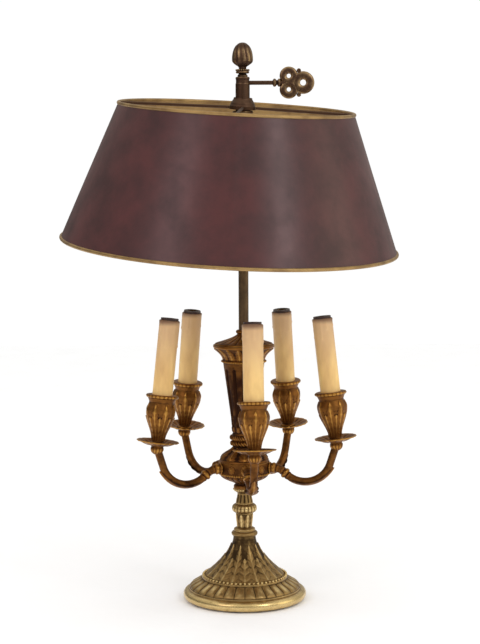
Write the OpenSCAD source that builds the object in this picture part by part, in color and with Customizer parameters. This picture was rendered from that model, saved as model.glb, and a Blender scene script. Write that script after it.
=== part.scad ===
// Five-light bouillotte lamp: a brass stand with scrolled candle arms, and a painted metal
// shade that slides on the pole and is held by a key-shaped screw.
// Millimetres, +Z up. The origin is on the lamp's axis, on the surface that it stands on.
// The front of the lamp faces -Y.

/* [Foot] */
// Diameter over the rounded rim of the foot
foot_d = 150; // [140:1:170]
// Height of the rounded rim
foot_rim_h = 12; // [11.5:0.5:14]
// Diameter where the trumpet of the foot starts
foot_step_d = 98; // [84:1:104]
// Height of the cushion moulding between rim and trumpet
foot_cushion_h = 16; // [13:1:22]
// Number of gadroons round the cushion moulding
foot_gadroons = 32; // [24:1:40]
// Radius of the groove between two gadroons of the foot
foot_groove_r = 2; // [1.5:0.1:2.4]
// Height of the foot from the table to the stem
foot_h = 84; // [78:1:100]
// Diameter of the foot's neck
foot_neck_d = 27; // [24:0.5:32]
// Wall of the hollow casting
foot_wall = 4; // [3:0.5:5]
// Height of the nut's seat inside the foot
foot_seat_z = 60; // [56:1:66]
// Gap from the table to the metal of the rim
foot_lift = 1; // [0.5:0.1:1.5]
// Thickness of the felt pad
felt_t = 2; // [1.6:0.1:3]
// Thickness of the steel bottom plate
plate_t = 1.5; // [1:0.1:2]
// Diameter of the iron weight
weight_d = 114; // [90:1:116]
// Height of the iron weight
weight_h = 11; // [8:0.5:12]
// Diameter of the opening in the weight
weight_bore_d = 46; // [30:1:60]

/* [Cord outlet] */
// Diameter of the mains lead
lead_d = 5.4; // [4.6:0.1:5.6]
// Height of the outlet above the table
outlet_z = 8; // [7.8:0.1:8.6]
// Outside diameter of the bushing's barrel
bush_d = 8.4; // [8:0.1:8.8]
// Diameter of the bushing's flange
bush_flange_d = 12.5; // [11:0.5:13]
// Thickness of the bushing's flange
bush_flange_t = 2; // [1.5:0.1:3]

/* [Stem and hub] */
// Height of the lower stem
stem_h = 53; // [46:1:66]
// Diameter of the lower stem
stem_d = 20; // [18:0.5:24]
// Diameter of the knop on the stem
knop_d = 29; // [26:0.5:34]
// Height of the knop's middle above the foot
knop_z = 28; // [24:1:32]
// Thickness of the knop
knop_h = 11; // [8:0.5:13]
// Number of lobes round the knop
knop_lobes = 20; // [12:1:22]
// Diameter of the collars between stem, hub and column
joint_d = 26; // [24:0.5:30]
// Diameter of the hub's belt, where the arms enter
hub_d = 62; // [58:1:70]
// Height of the hub's belt
hub_belt_h = 15; // [14:0.5:18]
// Height of the arms' holes above the hub's underside
hub_entry_h = 25.5; // [24:0.5:30]
// Height of the hub's lid
hub_lid_h = 26; // [22:1:32]
// Radius of the groove between two lobes of the knop
knop_groove_r = 1.4; // [1:0.1:1.6]
// Depth of the groove between two lobes of the knop
knop_groove_depth = 0.8; // [0.5:0.1:1]
// Diameter of the wiring chamber in the hub
chamber_d = 44; // [42:0.5:46]
// Diameter of the threaded tie rod
rod_d = 10; // [9.6:0.1:10.4]
// Bore of the tie rod
rod_bore_d = 6; // [5.8:0.1:6.8]
// Width of the tie rod's nut across its corners
rod_nut_d = 17; // [15:0.5:18]
// Thickness of the tie rod's nut
rod_nut_t = 5; // [4:0.5:6]
// Diameter of the tie rod's washer
washer_d = 18; // [17:0.5:20]

/* [Arms] */
// Angle of the front arm, to the right of straight ahead
arm_turn = 6; // [0:1:16]
// Diameter of the arm's tube
arm_d = 10; // [8:0.5:11]
// Bore of the arm's tube
arm_bore_d = 5; // [4.4:0.1:5.6]
// Distance from the lamp's axis to the middle of each boss
arm_reach = 113; // [104:1:124]
// Radius of the large bow of the arm
bow_r = 33; // [30:0.5:36]
// Distance from the lamp's axis to the outer side of the bow's centre line
bow_reach = 107; // [98:1:110]
// Outward lean of the straight riser between the bow and the boss
riser_lean = 18; // [12:1:26]
// Radius of the small counter bow at the hub
counter_r = 20; // [16:0.5:24]
// Diameter of the rosette where the arm meets the hub
rosette_d = 14; // [13:0.5:15]
// How far the knots stand proud of the arm's tube
knot_rise = 1.4; // [1:0.1:2.5]
// Diameter of the boss under the drip pan
boss_d = 15; // [14:0.5:18]
// How far the riser stands proud of the bow
riser_rise = 0.25; // [0.15:0.05:0.3]
// Rise from the boss to the drip pan
boss_rise = 4; // [3:0.5:8]
// Width of the leaf on the bow
leaf_w = 15; // [12:0.5:18]
// Thickness of the leaf at its midrib
leaf_t = 2.6; // [2:0.1:3.4]

/* [Candles] */
// Inward lean of pan, cup and candle
candle_lean = 6.5; // [0:0.5:8]
// Diameter of the drip pan
pan_d = 50; // [44:1:54]
// Thickness of the drip pan
pan_t = 1.4; // [1:0.1:2]
// Depth of the drip pan
pan_depth = 4; // [2:0.5:6]
// Number of lobes round the drip pan's edge
pan_lobes = 16; // [10:1:20]
// Radius of the notch between two lobes of the pan
pan_notch_r = 3; // [2:0.1:3.5]
// Depth of the notch between two lobes of the pan
pan_notch_depth = 1.1; // [0.6:0.1:1.6]
// Height of the candle cup
cup_h = 59; // [54:1:66]
// Diameter over the cup's rim
cup_rim_d = 38; // [34:0.5:42]
// Diameter of the cup's belly
cup_belly_d = 35; // [32:0.5:38]
// Height of the belly's widest place above the cup's foot
cup_belly_h = 41; // [38:0.5:44]
// Distance of the cup's neck below its rim
cup_neck_drop = 9; // [7:0.5:11]
// Number of lobes round the cup's belly
cup_lobes = 8; // [6:1:12]
// Radius of the groove between two lobes of the cup
cup_groove_r = 2.5; // [2:0.1:3]
// Depth of the groove between two lobes of the cup
cup_groove_depth = 1.2; // [0.6:0.1:1.6]
// Height of the floor that the candle sleeve stands on, above the cup's foot
cup_floor_h = 37; // [34:0.5:40]
// Diameter of the candle sleeve
sleeve_d = 24; // [23:0.5:26]
// Wall of the candle sleeve
sleeve_wall = 1.2; // [1:0.1:1.5]
// Length of the candle sleeve
sleeve_l = 110; // [90:1:130]
// Length of the lamp socket's body
socket_l = 44; // [38:1:50]
// How far the socket's rim shows above the sleeve
socket_stand = 3; // [1:0.5:5]
// Diameter of the socket's screw shell
lamp_thread_d = 12; // [11.8:0.1:14]
// Depth of the socket's screw shell
lamp_thread_l = 24; // [20:1:28]
// Height of the nut's seat in the cup, above the cup's foot
nut_seat_h = 31; // [29:0.5:32]
// Thickness of the socket's steel strap
strap_t = 1.6; // [1.2:0.1:2]
// Width of the socket's steel strap
strap_w = 6; // [5:0.5:7]
// Diameter of the threaded nipple that holds pan, cup and socket
nipple_d = 9.6; // [9:0.1:10]
// Bore of the nipple
nipple_bore_d = 5.2; // [4.8:0.1:6]
// Thickness of the small hexagon nuts
nut_t = 3; // [2.5:0.1:4]
// Width of the arms' nuts across their corners
nut_d = 15; // [14:0.5:16]
// Width of the nipples' nuts across their corners
nipple_nut_d = 12.4; // [12:0.1:12.8]
// Diameter of the leads inside the arms
wire_d = 4.4; // [3.8:0.1:4.4]

/* [Column and pole] */
// Height of the fluted column
column_h = 116; // [100:1:130]
// Diameter of the column's shaft at its foot
column_foot_d = 27; // [24:0.5:30]
// Diameter of the column's shaft at its top
column_top_d = 50; // [44:0.5:54]
// Diameter of the column's capital
capital_d = 74; // [64:0.5:80]
// Height of the plain mouldings at the column's foot
column_base_h = 9; // [7:0.5:12]
// Height of the column's capital
capital_h = 22; // [18:0.5:26]
// Number of flutes
flutes = 12; // [8:1:14]
// Radius of the cutter for one flute
flute_r = 2.6; // [2:0.1:3]
// Depth of one flute
flute_depth = 1.5; // [1:0.1:2]
// Height of the domed cap on the column
cap_h = 18; // [15:0.5:24]
// Diameter of the pole
pole_d = 12; // [11:0.1:13]
// Length of the pole
pole_l = 324; // [300:1:360]
// Height of the finial
finial_h = 36.5; // [32:0.5:42]
// Diameter of the finial's bulb
finial_d = 25; // [22:0.5:30]
// Height of the bulb's widest place above the finial's foot
finial_bulb_h = 15; // [13:0.5:18]
// Diameter of the finial's foot
finial_foot_d = 17; // [15:0.5:20]
// Number of lobes round the finial
finial_lobes = 12; // [8:1:13]
// Radius of the groove between two lobes of the finial
finial_groove_r = 1.5; // [1:0.1:1.6]
// Depth of the groove between two lobes of the finial
finial_groove_depth = 0.9; // [0.5:0.1:1]
// Length of the finial's spigot in the pole
spigot_l = 12; // [8:0.5:16]

/* [Shade carrier] */
// Gap from the carrier's sleeve up to the finial
sleeve_gap = 4; // [3:0.5:10]
// Length of the carrier's sleeve
carrier_l = 44; // [40:1:52]
// Outside diameter of the carrier's sleeve
carrier_d = 17; // [16.4:0.1:18]
// Diameter of the flange that carries the shade
flange_d = 25; // [23:0.5:28]
// Thickness of the flange
flange_t = 4; // [3:0.5:5]
// Distance of the key screw below the top of the sleeve
key_drop = 7; // [6:0.5:8]
// Diameter of the key screw
key_d = 5; // [4:0.1:6]
// Distance from the pole's axis to the start of the key's bow
key_reach = 44; // [38:1:50]
// Radius of the two side lobes of the bow
key_lobe_r = 11; // [9:0.5:11]
// Distance of each side lobe's middle from the screw's axis
key_lobe_z = 8; // [7:0.1:8.4]
// Radius of the end lobe of the bow
key_end_r = 13.5; // [12:0.5:14]
// Distance from the side lobes' middles to the end lobe's middle
key_end_x = 17; // [15:0.5:18]
// Radius of the holes in the side lobes
key_lobe_hole_r = 2.5; // [2:0.1:5.4]
// Radius of the hole in the end lobe
key_end_hole_r = 3.5; // [3:0.1:6.8]
// Thickness of the bow
key_t = 4.5; // [3.5:0.1:6]

/* [Shade] */
// Diameter of the shade at its lower edge
shade_bottom_d = 406; // [360:2:440]
// Diameter of the shade at its upper edge
shade_top_d = 282; // [250:2:300]
// Height of the shade
shade_h = 162; // [140:1:190]
// Thickness of the painted sheet
shade_t = 0.8; // [0.6:0.1:1.2]
// Radius of the wired edges
rim_r = 2.2; // [1.8:0.1:2.8]
// Lean of the shade towards the front
lean_front = 5.3; // [0:0.1:7]
// Lean of the shade towards the right
lean_side = 3.4; // [0:0.1:5]
// Sideways offset of the shade on its spokes
shade_shift = -7; // [-9:0.1:9]
// Depth of the upper edge below the hub's middle
shade_drop = 5.5; // [4:0.5:12]
// Diameter of the spider's hub
spider_d = 31; // [29:0.5:34]
// Height of the spider's hub
spider_h = 14; // [12:0.5:16]
// Radius of a spoke
spoke_r = 1.8; // [1.5:0.1:2]

/* [Fits] */
// Gap round parts that seat in or on each other
seat_gap = 0.3; // [0.2:0.05:0.4]
// Radial gap of parts that slide or turn
run_gap = 0.08; // [0.05:0.01:0.1]
// Radial gap of a screw thread
thread_gap = 0.1; // [0.05:0.01:0.15]

/* [Hidden] */
$fn = 64;
ARMS = 5;
SPOKES = 4;
ROUND_STEPS = 8;
CURVE_STEPS = 12;
BRASS = [0.62, 0.50, 0.32];
DARK_BRASS = [0.45, 0.35, 0.22];
IRON = [0.25, 0.25, 0.26];
IVORY = [0.90, 0.82, 0.64];
PHENOLIC = [0.22, 0.17, 0.14];
OXBLOOD = [0.33, 0.20, 0.22];

// Heights of the stack on the tie rod
stem_z = foot_h;
hub_z = stem_z + stem_h;
belt_top_z = hub_z + hub_entry_h + hub_belt_h / 2;
column_z = belt_top_z + hub_lid_h;
cap_z = column_z + column_h;
pole_z = cap_z;
finial_z = pole_z + pole_l;
rod_hole_r = rod_d / 2 + thread_gap;
rod_bottom_z = foot_seat_z - 14;
rod_top_z = cap_z + cap_h;
washer_t = 2;

// Foot
foot_r = foot_d / 2;
foot_step_r = foot_step_d / 2;
foot_neck_r = foot_neck_d / 2;
rim_top_z = foot_lift + foot_rim_h;
cushion_top_z = rim_top_z + foot_cushion_h;
plate_top_z = felt_t + plate_t;
recess_r = foot_r - foot_rim_h / 2 - 1;
trumpet_power = 1.8;
cushion_inset = 7;

// Arms: c1 is the centre of the large bow and c2 of the counter bow, both as [radius, height]
joint_a = 225;
entry_z = hub_z + hub_entry_h;
c1_r = bow_reach - bow_r;
c2_r = c1_r + (bow_r + counter_r) * cos(joint_a);
c2_z = entry_z - counter_r;
c1_z = c2_z - (bow_r + counter_r) * sin(joint_a);
riser_foot = [c1_r + bow_r * cos(riser_lean), c1_z - bow_r * sin(riser_lean)];
boss_z = riser_foot[1] + (arm_reach - riser_foot[0]) / tan(riser_lean);
pan_z = boss_z + boss_rise;
chamber_r = chamber_d / 2;
nut_face_r = sqrt(pow(chamber_r, 2) - pow(nut_d / 2, 2)) - seat_gap;
arm_root_r = nut_face_r - nut_t - 1;

// Candles
cup_z = pan_z + pan_t;
cup_floor_z = cup_z + cup_floor_h;
cup_bore_r = sleeve_d / 2 + seat_gap;
strap_x = nipple_nut_d / 2 + seat_gap;
nut_well_r = norm([strap_x + strap_t, strap_w / 2]) + seat_gap;
nut_seat_z = cup_z + nut_seat_h;
sleeve_top_z = cup_floor_z + sleeve_l;
socket_top_z = sleeve_top_z + socket_stand;
socket_z = socket_top_z - socket_l;
socket_r = sleeve_d / 2 - sleeve_wall - seat_gap;
nipple_top_z = nut_seat_z + strap_t + nut_t + 1;
nipple_z = boss_z + seat_gap;

// Shade carrier and shade
carrier_top_z = finial_z - sleeve_gap;
carrier_z = carrier_top_z - carrier_l;
flange_top_z = carrier_z + flange_t;
key_z = carrier_top_z - key_drop;
lean = acos(cos(lean_front) * cos(lean_side));
hub_low = 6;
hub_bore_r = carrier_d / 2 / cos(lean) + (spider_h - hub_low) * tan(lean) + seat_gap;
pivot_z = flange_top_z + seat_gap + (flange_d - flange_t) / 2 * tan(lean) + hub_low / cos(lean);
shade_top_r = shade_top_d / 2;
shade_bottom_r = shade_bottom_d / 2;
wire_cut = rim_r / 2;
shell_top_z = -shade_drop - wire_cut;
shell_bottom_z = -shade_drop - shade_h + wire_cut;

// Points of an arc about centre c, from angle a0 to a1
function arc_points(c, r, a0, a1) =
    [for (i = [0:ROUND_STEPS]) let (a = a0 + (a1 - a0) * i / ROUND_STEPS)
        [c[0] + r * cos(a), c[1] + r * sin(a)]];

// An S-shaped stretch from p to q: the radius eases in and out while the height grows evenly
function swell_points(p, q) =
    [for (i = [0:CURVE_STEPS]) let (t = i / CURVE_STEPS)
        [p[0] + (q[0] - p[0]) * (1 - cos(180 * t)) / 2, p[1] + (q[1] - p[1]) * t]];

// A trumpet-shaped stretch from p to q: wide at first, then nearly straight
function trumpet_points(p, q) =
    [for (i = [0:CURVE_STEPS]) let (t = i / CURVE_STEPS)
        [q[0] + (p[0] - q[0]) * pow(1 - t, trumpet_power), p[1] + (q[1] - p[1]) * t]];

// The same points without the first one, to go on from a point that is already there
function tail(points) = [for (i = [1:len(points) - 1]) points[i]];

// The same points from the last one to the first
function reversed(points) = [for (i = [len(points) - 1:-1:0]) points[i]];

// A solid of revolution about the Z axis
module turned(points) {
    rotate_extrude() polygon(points);
}

// A round bar from point p to point q
module bar(p, q, r) {
    v = q - p;
    translate(p) rotate([0, acos(v[2] / norm(v)), atan2(v[1], v[0])]) cylinder(h = norm(v), r = r);
}

// A bent round bar in the XZ plane: bend radius b about c, from angle a0 to a1
module bend(c, b, a0, a1, r) {
    translate([c[0], 0, c[1]]) rotate([90, 0, 0]) rotate([0, 0, a0])
        rotate_extrude(angle = a1 - a0) translate([b, 0]) circle(r = r);
}

// Lays a cutter of radius r, drawn up the Z axis, along the outside of an outline that runs upwards
// from p to q, both as [radius, height], and sinks it by depth below the line from p to q
module along(p, q, r, depth) {
    slope_a = atan2(q[0] - p[0], q[1] - p[1]);
    out = r - depth;
    translate([p[0] + out * cos(slope_a), 0, p[1] - out * sin(slope_a)])
        rotate([0, slope_a, 0]) children();
}

// Cutter for a straight groove from p to q
module groove(p, q, r, depth) {
    along(p, q, r, depth) cylinder(h = norm(q - p), r = r);
}

// Cutter for a flute from p to q, with tapered ends
module flute(p, q, r, depth) {
    l = norm(q - p);
    along(p, q, r, depth)
        turned([[0, 0], [0.7 * r, 0.3 * r], [r, r], [r, l - r], [0.7 * r, l - 0.3 * r], [0, l]]);
}

// Repeats a piece n times round the Z axis
module around(n) {
    for (i = [1:n]) rotate([0, 0, i * 360 / n]) children();
}

// A hexagon nut with a round hole
module hex_nut(t, d, hole_r) {
    difference() {
        cylinder(h = t, d = d, $fn = 6);
        translate([0, 0, -1]) cylinder(h = t + 2, r = hole_r);
    }
}

// Turns a piece that is drawn along +X to the place of arm k
module at_arm(k) {
    rotate([0, 0, arm_turn - 90 + (k - 1) * 360 / ARMS]) children();
}

// Leans a piece that is drawn on the Z axis inwards, about the middle of the boss
module on_boss() {
    translate([arm_reach, 0, boss_z]) rotate([0, -candle_lean, 0]) translate([0, 0, -boss_z]) children();
}

// Puts a piece that is drawn on the Z axis on the candle's axis of arm k
module at_candle(k) {
    at_arm(k) on_boss() children();
}

// Leans a piece of the shade about the middle of its hub
module leaning() {
    translate([0, 0, pivot_z]) rotate([lean_front, lean_side, 0]) children();
}

module felt_pad() {
    color("DarkOliveGreen") cylinder(h = felt_t, r = recess_r - 2);
}

module bottom_plate() {
    color(IRON) translate([0, 0, felt_t]) cylinder(h = plate_t, r = recess_r - seat_gap);
}

module foot_weight() {
    slot_w = lead_d + 4;
    color(IRON) difference() {
        translate([0, 0, plate_top_z]) cylinder(h = weight_h, d = weight_d);
        translate([0, 0, plate_top_z - 1]) cylinder(h = weight_h + 2, d = weight_bore_d);
        translate([-slot_w / 2, 0, plate_top_z - 1]) cube([slot_w, weight_d, weight_h + 2]);
    }
}

module foot() {
    rim_c = [foot_r - foot_rim_h / 2, foot_lift + foot_rim_h / 2];
    ring_r = foot_neck_r + 2.5;
    ring_h = 6;
    groove_depth = 0.5;
    trumpet = trumpet_points([foot_step_r, cushion_top_z], [foot_neck_r, foot_h - ring_h]);
    cushion_foot = [foot_r - cushion_inset - 1, rim_top_z + 2];
    cushion_head = [foot_step_r + 3, cushion_top_z - 2];
    outer = concat(
        [[0, foot_lift]],
        arc_points(rim_c, foot_rim_h / 2, -90, 90),
        [[foot_r - cushion_inset, rim_top_z], [foot_r - cushion_inset, rim_top_z + 2]],
        swell_points(cushion_foot, cushion_head),
        [[foot_step_r + 3, cushion_top_z]],
        trumpet,
        arc_points([ring_r - ring_h / 2, foot_h - ring_h / 2], ring_h / 2, -90, 90),
        [[0, foot_h]]);
    inner = concat(
        [[0, foot_lift - 1], [recess_r, foot_lift - 1], [recess_r, plate_top_z],
         [recess_r - foot_wall, plate_top_z]],
        swell_points([recess_r - foot_wall - 1, rim_top_z - 3],
                     [foot_step_r, cushion_top_z - foot_wall]),
        [for (p = trumpet) if (p[1] < foot_seat_z) [p[0] - foot_wall, p[1] - foot_wall / 2]],
        [[foot_neck_r + 2, foot_seat_z], [0, foot_seat_z]]);
    color(BRASS) difference() {
        turned(outer);
        turned(inner);
        around(foot_gadroons) groove(cushion_foot, cushion_head, foot_groove_r, groove_depth);
        cylinder(h = foot_h + 1, r = rod_hole_r);
        translate([0, recess_r - 2 * foot_wall, outlet_z]) rotate([-90, 0, 0])
            cylinder(h = foot_r, r = bush_d / 2 + thread_gap);
    }
}

module cord_bushing() {
    barrel_y = recess_r - foot_wall - 3;
    color(PHENOLIC) difference() {
        union() {
            translate([0, barrel_y, outlet_z]) rotate([-90, 0, 0])
                cylinder(h = foot_r - barrel_y + 0.5, d = bush_d);
            translate([0, foot_r + 0.2, outlet_z]) rotate([-90, 0, 0])
                cylinder(h = bush_flange_t, d = bush_flange_d);
        }
        translate([0, barrel_y - 1, outlet_z]) rotate([-90, 0, 0])
            cylinder(h = foot_r, r = lead_d / 2 + seat_gap);
    }
}

module rod_washer() {
    color(IRON) translate([0, 0, foot_seat_z - washer_t]) difference() {
        cylinder(h = washer_t, d = washer_d);
        translate([0, 0, -1]) cylinder(h = washer_t + 2, r = rod_hole_r);
    }
}

module rod_nut() {
    color(BRASS) translate([0, 0, foot_seat_z - washer_t - rod_nut_t])
        hex_nut(rod_nut_t, rod_nut_d, rod_hole_r);
}

module tie_rod() {
    exit_h = hub_belt_h - 4;
    color(DARK_BRASS) difference() {
        translate([0, 0, rod_bottom_z]) cylinder(h = rod_top_z - rod_bottom_z, d = rod_d);
        translate([0, 0, rod_bottom_z - 1])
            cylinder(h = rod_top_z - rod_bottom_z + 2, d = rod_bore_d);
        translate([0, 0, entry_z - exit_h / 2]) translate([0, -rod_bore_d / 4, 0])
            cube([rod_d, rod_bore_d / 2, exit_h]);
    }
}

module main_lead() {
    elbow_r = 12;
    lead_r = lead_d / 2;
    color("Maroon") union() {
        bar([0, foot_r - 2, outlet_z], [0, elbow_r, outlet_z], lead_r);
        rotate([0, 0, 90]) bend([elbow_r, outlet_z + elbow_r], elbow_r, 180, 270, lead_r);
        translate([0, 0, outlet_z + elbow_r])
            cylinder(h = entry_z - outlet_z - elbow_r, r = lead_r);
    }
}

module lower_stem() {
    stem_r = stem_d / 2;
    joint_r = joint_d / 2;
    knop_r = knop_d / 2;
    outer = concat(
        [[0, 0], [joint_r, 0], [joint_r, 3]],
        swell_points([stem_r - 1, 5], [stem_r + 0.5, knop_z - knop_h / 2]),
        arc_points([knop_r - knop_h / 2, knop_z], knop_h / 2, -90, 90),
        swell_points([stem_r + 0.5, knop_z + knop_h / 2], [stem_r - 1.5, stem_h - 6]),
        [[joint_r, stem_h - 3], [joint_r, stem_h], [0, stem_h]]);
    groove_end_a = 60;
    color(BRASS) translate([0, 0, stem_z]) difference() {
        turned(outer);
        translate([0, 0, -1]) cylinder(h = stem_h + 2, r = rod_hole_r);
        around(knop_lobes)
            bend([knop_r - knop_h / 2, knop_z], knop_h / 2 + knop_groove_r - knop_groove_depth,
                 -groove_end_a, groove_end_a, knop_groove_r);
    }
}

module hub_bowl() {
    joint_r = joint_d / 2;
    hub_r = hub_d / 2;
    belt_z = hub_entry_h - hub_belt_h / 2;
    bowl_h = hub_entry_h + hub_belt_h / 2;
    outer = concat(
        [[0, 0], [joint_r, 0], [joint_r, 3]],
        swell_points([joint_r - 2, 5], [hub_r - 2, belt_z - 1]),
        [[hub_r, belt_z - 1], [hub_r, bowl_h], [0, bowl_h]]);
    color(DARK_BRASS) difference() {
        translate([0, 0, hub_z]) turned(outer);
        translate([0, 0, hub_z - 1]) cylinder(h = bowl_h + 2, r = rod_hole_r);
        translate([0, 0, hub_z + belt_z]) cylinder(h = hub_belt_h + 1, r = chamber_r);
        for (k = [1:ARMS]) at_arm(k) translate([0, 0, entry_z]) rotate([0, 90, 0])
            cylinder(h = hub_d, r = arm_d / 2 + thread_gap);
    }
}

module hub_lid() {
    neck_r = joint_d / 2;
    hub_r = hub_d / 2;
    outer = concat(
        [[0, 0], [hub_r - 1, 0], [hub_r - 1, 2]],
        swell_points([hub_r - 2, 3], [neck_r, hub_lid_h - 8]),
        arc_points([neck_r + 1.5, hub_lid_h - 4], 2.5, -90, 90),
        [[neck_r + 1, hub_lid_h], [0, hub_lid_h]]);
    color(DARK_BRASS) translate([0, 0, belt_top_z]) difference() {
        turned(outer);
        translate([0, 0, -1]) cylinder(h = hub_lid_h + 2, r = rod_hole_r);
        translate([0, 0, -1]) cylinder(h = 6, r = chamber_r - 3);
    }
}

// The line of an arm from radius x0 to the end of the bow: bars of radius r that end short of
// each other inside two knots of radius knot_r, and a slightly thicker riser up to the boss
module arm_path(x0, r, knot_r) {
    short = 0.5;
    short_a1 = short / bow_r * 180 / PI;
    short_a2 = short / counter_r * 180 / PI;
    bar([x0, 0, entry_z], [c2_r - short, 0, entry_z], r);
    translate([c2_r, 0, entry_z]) sphere(r = knot_r);
    bend([c2_r, c2_z], counter_r, joint_a - 180 + short_a2, 90 - short_a2, r);
    translate([c2_r + counter_r * cos(joint_a - 180), 0, c2_z + counter_r * sin(joint_a - 180)])
        sphere(r = knot_r);
    bend([c1_r, c1_z], bow_r, joint_a + short_a1, 360 - riser_lean, r);
    bar([riser_foot[0] - sin(riser_lean), 0, riser_foot[1] - cos(riser_lean)],
        [arm_reach, 0, boss_z], r + riser_rise);
}

// A pointed leaf with a midrib that lies on the outer side of the bow
module leaf() {
    mid_a = -66;
    spread = 46;
    seat_r = bow_r + arm_d / 2 - 1;
    outline_r = 62;
    intersection() {
        translate([c1_r, 0, c1_z]) rotate([90, 0, 0]) rotate([0, 0, mid_a - spread])
            rotate_extrude(angle = 2 * spread)
            polygon([[seat_r, 0], [seat_r - 2, leaf_w / 2], [seat_r - 0.6, leaf_w / 2],
                     [seat_r + leaf_t, 0], [seat_r - 0.6, -leaf_w / 2], [seat_r - 2, -leaf_w / 2]]);
        intersection_for(side = [-1, 1])
            translate([c1_r, side * (outline_r - leaf_w / 2), c1_z])
            rotate([0, 90 - mid_a, 0]) cylinder(h = 2 * bow_r, r = outline_r);
    }
}

module arm(k) {
    hub_r = hub_d / 2;
    rosette_l = 5;
    color(DARK_BRASS) at_arm(k) difference() {
        union() {
            arm_path(arm_root_r, arm_d / 2, arm_d / 2 + knot_rise);
            translate([hub_r + seat_gap, 0, entry_z]) rotate([0, 90, 0])
                cylinder(h = rosette_l, r1 = rosette_d / 2, r2 = arm_d / 2 + 0.5);
            translate([arm_reach, 0, boss_z]) sphere(d = boss_d);
            on_boss() translate([0, 0, boss_z]) cylinder(h = boss_rise, d = boss_d - 1);
            leaf();
        }
        arm_path(arm_root_r - 1, arm_bore_d / 2, arm_bore_d / 2 + seat_gap);
        translate([arm_reach, 0, boss_z]) sphere(r = arm_bore_d / 2 + seat_gap);
        on_boss() translate([0, 0, boss_z]) cylinder(h = boss_d, r = nipple_d / 2 + thread_gap);
        on_boss() translate([0, 0, pan_z]) cylinder(h = boss_d, r = boss_d);
    }
}

module arm_nuts() {
    color(BRASS) for (k = [1:ARMS]) at_arm(k) translate([nut_face_r - nut_t, 0, entry_z])
        rotate([0, 90, 0]) hex_nut(nut_t, nut_d, arm_d / 2 + thread_gap);
}

module arm_leads() {
    wire_r = wire_d / 2;
    knot_r = wire_r + riser_rise + 0.1;
    start_z = boss_z + knot_r - wire_r;
    color("Gold") for (k = [1:ARMS]) at_arm(k) union() {
        arm_path(arm_root_r - 3, wire_r, knot_r);
        translate([arm_reach, 0, boss_z]) sphere(r = knot_r);
        on_boss() translate([0, 0, start_z]) cylinder(h = socket_z - start_z, r = wire_r);
    }
}

module nipples() {
    color(BRASS) for (k = [1:ARMS]) at_candle(k) translate([0, 0, nipple_z]) difference() {
        cylinder(h = nipple_top_z - nipple_z, d = nipple_d);
        translate([0, 0, -1]) cylinder(h = nipple_top_z, d = nipple_bore_d);
    }
}

module nipple_nuts() {
    color(BRASS) for (k = [1:ARMS]) at_candle(k) translate([0, 0, nut_seat_z + strap_t])
        hex_nut(nut_t, nipple_nut_d, nipple_d / 2 + thread_gap);
}

module drip_pan(k) {
    pan_r = pan_d / 2;
    seat_r = boss_d / 2 + 2;
    color(DARK_BRASS) at_candle(k) translate([0, 0, pan_z]) difference() {
        turned(concat(
            [[0, 0], [seat_r, 0]],
            swell_points([seat_r, 0], [pan_r, pan_depth]),
            [[pan_r, pan_depth + pan_t], [pan_r - 1, pan_depth + pan_t]],
            [for (p = swell_points([pan_r - 1, pan_depth], [seat_r, 0])) [p[0], p[1] + pan_t]],
            [[0, pan_t]]));
        translate([0, 0, -1]) cylinder(h = pan_t + 2, r = nipple_d / 2 + thread_gap);
        rotate([0, 0, 180 / pan_lobes]) around(pan_lobes)
            translate([pan_r + pan_notch_r - pan_notch_depth, 0, -1])
            cylinder(h = pan_depth + pan_t + 2, r = pan_notch_r);
    }
}

module candle_cup(k) {
    rim_r1 = cup_rim_d / 2;
    belly_r = cup_belly_d / 2;
    foot_r1 = boss_d / 2 + 2;
    neck_r = cup_bore_r + 2.5;
    lip_h = 4;
    outer = concat(
        [[0, 0], [foot_r1, 0], [foot_r1, 1.5]],
        swell_points([foot_r1 - 2.5, 3], [belly_r, cup_belly_h]),
        tail(swell_points([belly_r, cup_belly_h], [neck_r, cup_h - cup_neck_drop])),
        arc_points([rim_r1 - lip_h / 2, cup_h - lip_h / 2], lip_h / 2, -90, 90),
        [[0, cup_h]]);
    color(DARK_BRASS) at_candle(k) translate([0, 0, cup_z]) difference() {
        turned(outer);
        translate([0, 0, cup_floor_h]) cylinder(h = cup_h, r = cup_bore_r);
        translate([0, 0, nut_seat_z - cup_z]) cylinder(h = cup_h, r = nut_well_r);
        translate([0, 0, -1]) cylinder(h = cup_h, r = nipple_d / 2 + thread_gap);
        around(cup_lobes)
            groove([belly_r, 3], [belly_r, cup_h - cup_neck_drop], cup_groove_r, cup_groove_depth);
    }
}

module candle_sleeve(k) {
    color(IVORY) at_candle(k) translate([0, 0, cup_floor_z]) difference() {
        cylinder(h = sleeve_l, d = sleeve_d);
        translate([0, 0, -1]) cylinder(h = sleeve_l + 2, r = sleeve_d / 2 - sleeve_wall);
    }
}

module socket(k) {
    strap_foot_r = strap_x + strap_t;
    rise_x = socket_r - 1;
    color(PHENOLIC) at_candle(k) union() {
        difference() {
            translate([0, 0, socket_z]) cylinder(h = socket_l, r = socket_r);
            translate([0, 0, socket_top_z - lamp_thread_l])
                cylinder(h = lamp_thread_l + 1, d = lamp_thread_d);
        }
        translate([-rise_x, -strap_w / 2, cup_floor_z]) cube([strap_t, strap_w, socket_z - cup_floor_z]);
        translate([-rise_x, -strap_w / 2, cup_floor_z]) cube([rise_x - strap_x, strap_w, strap_t]);
        difference() {
            union() {
                translate([0, 0, nut_seat_z]) cylinder(h = strap_t, r = strap_foot_r);
                translate([-strap_foot_r, -strap_w / 2, nut_seat_z])
                    cube([strap_t, strap_w, cup_floor_z - nut_seat_z + strap_t]);
            }
            translate([0, 0, nut_seat_z - 1]) cylinder(h = strap_t + 2, r = nipple_d / 2 + thread_gap);
        }
    }
}

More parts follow.
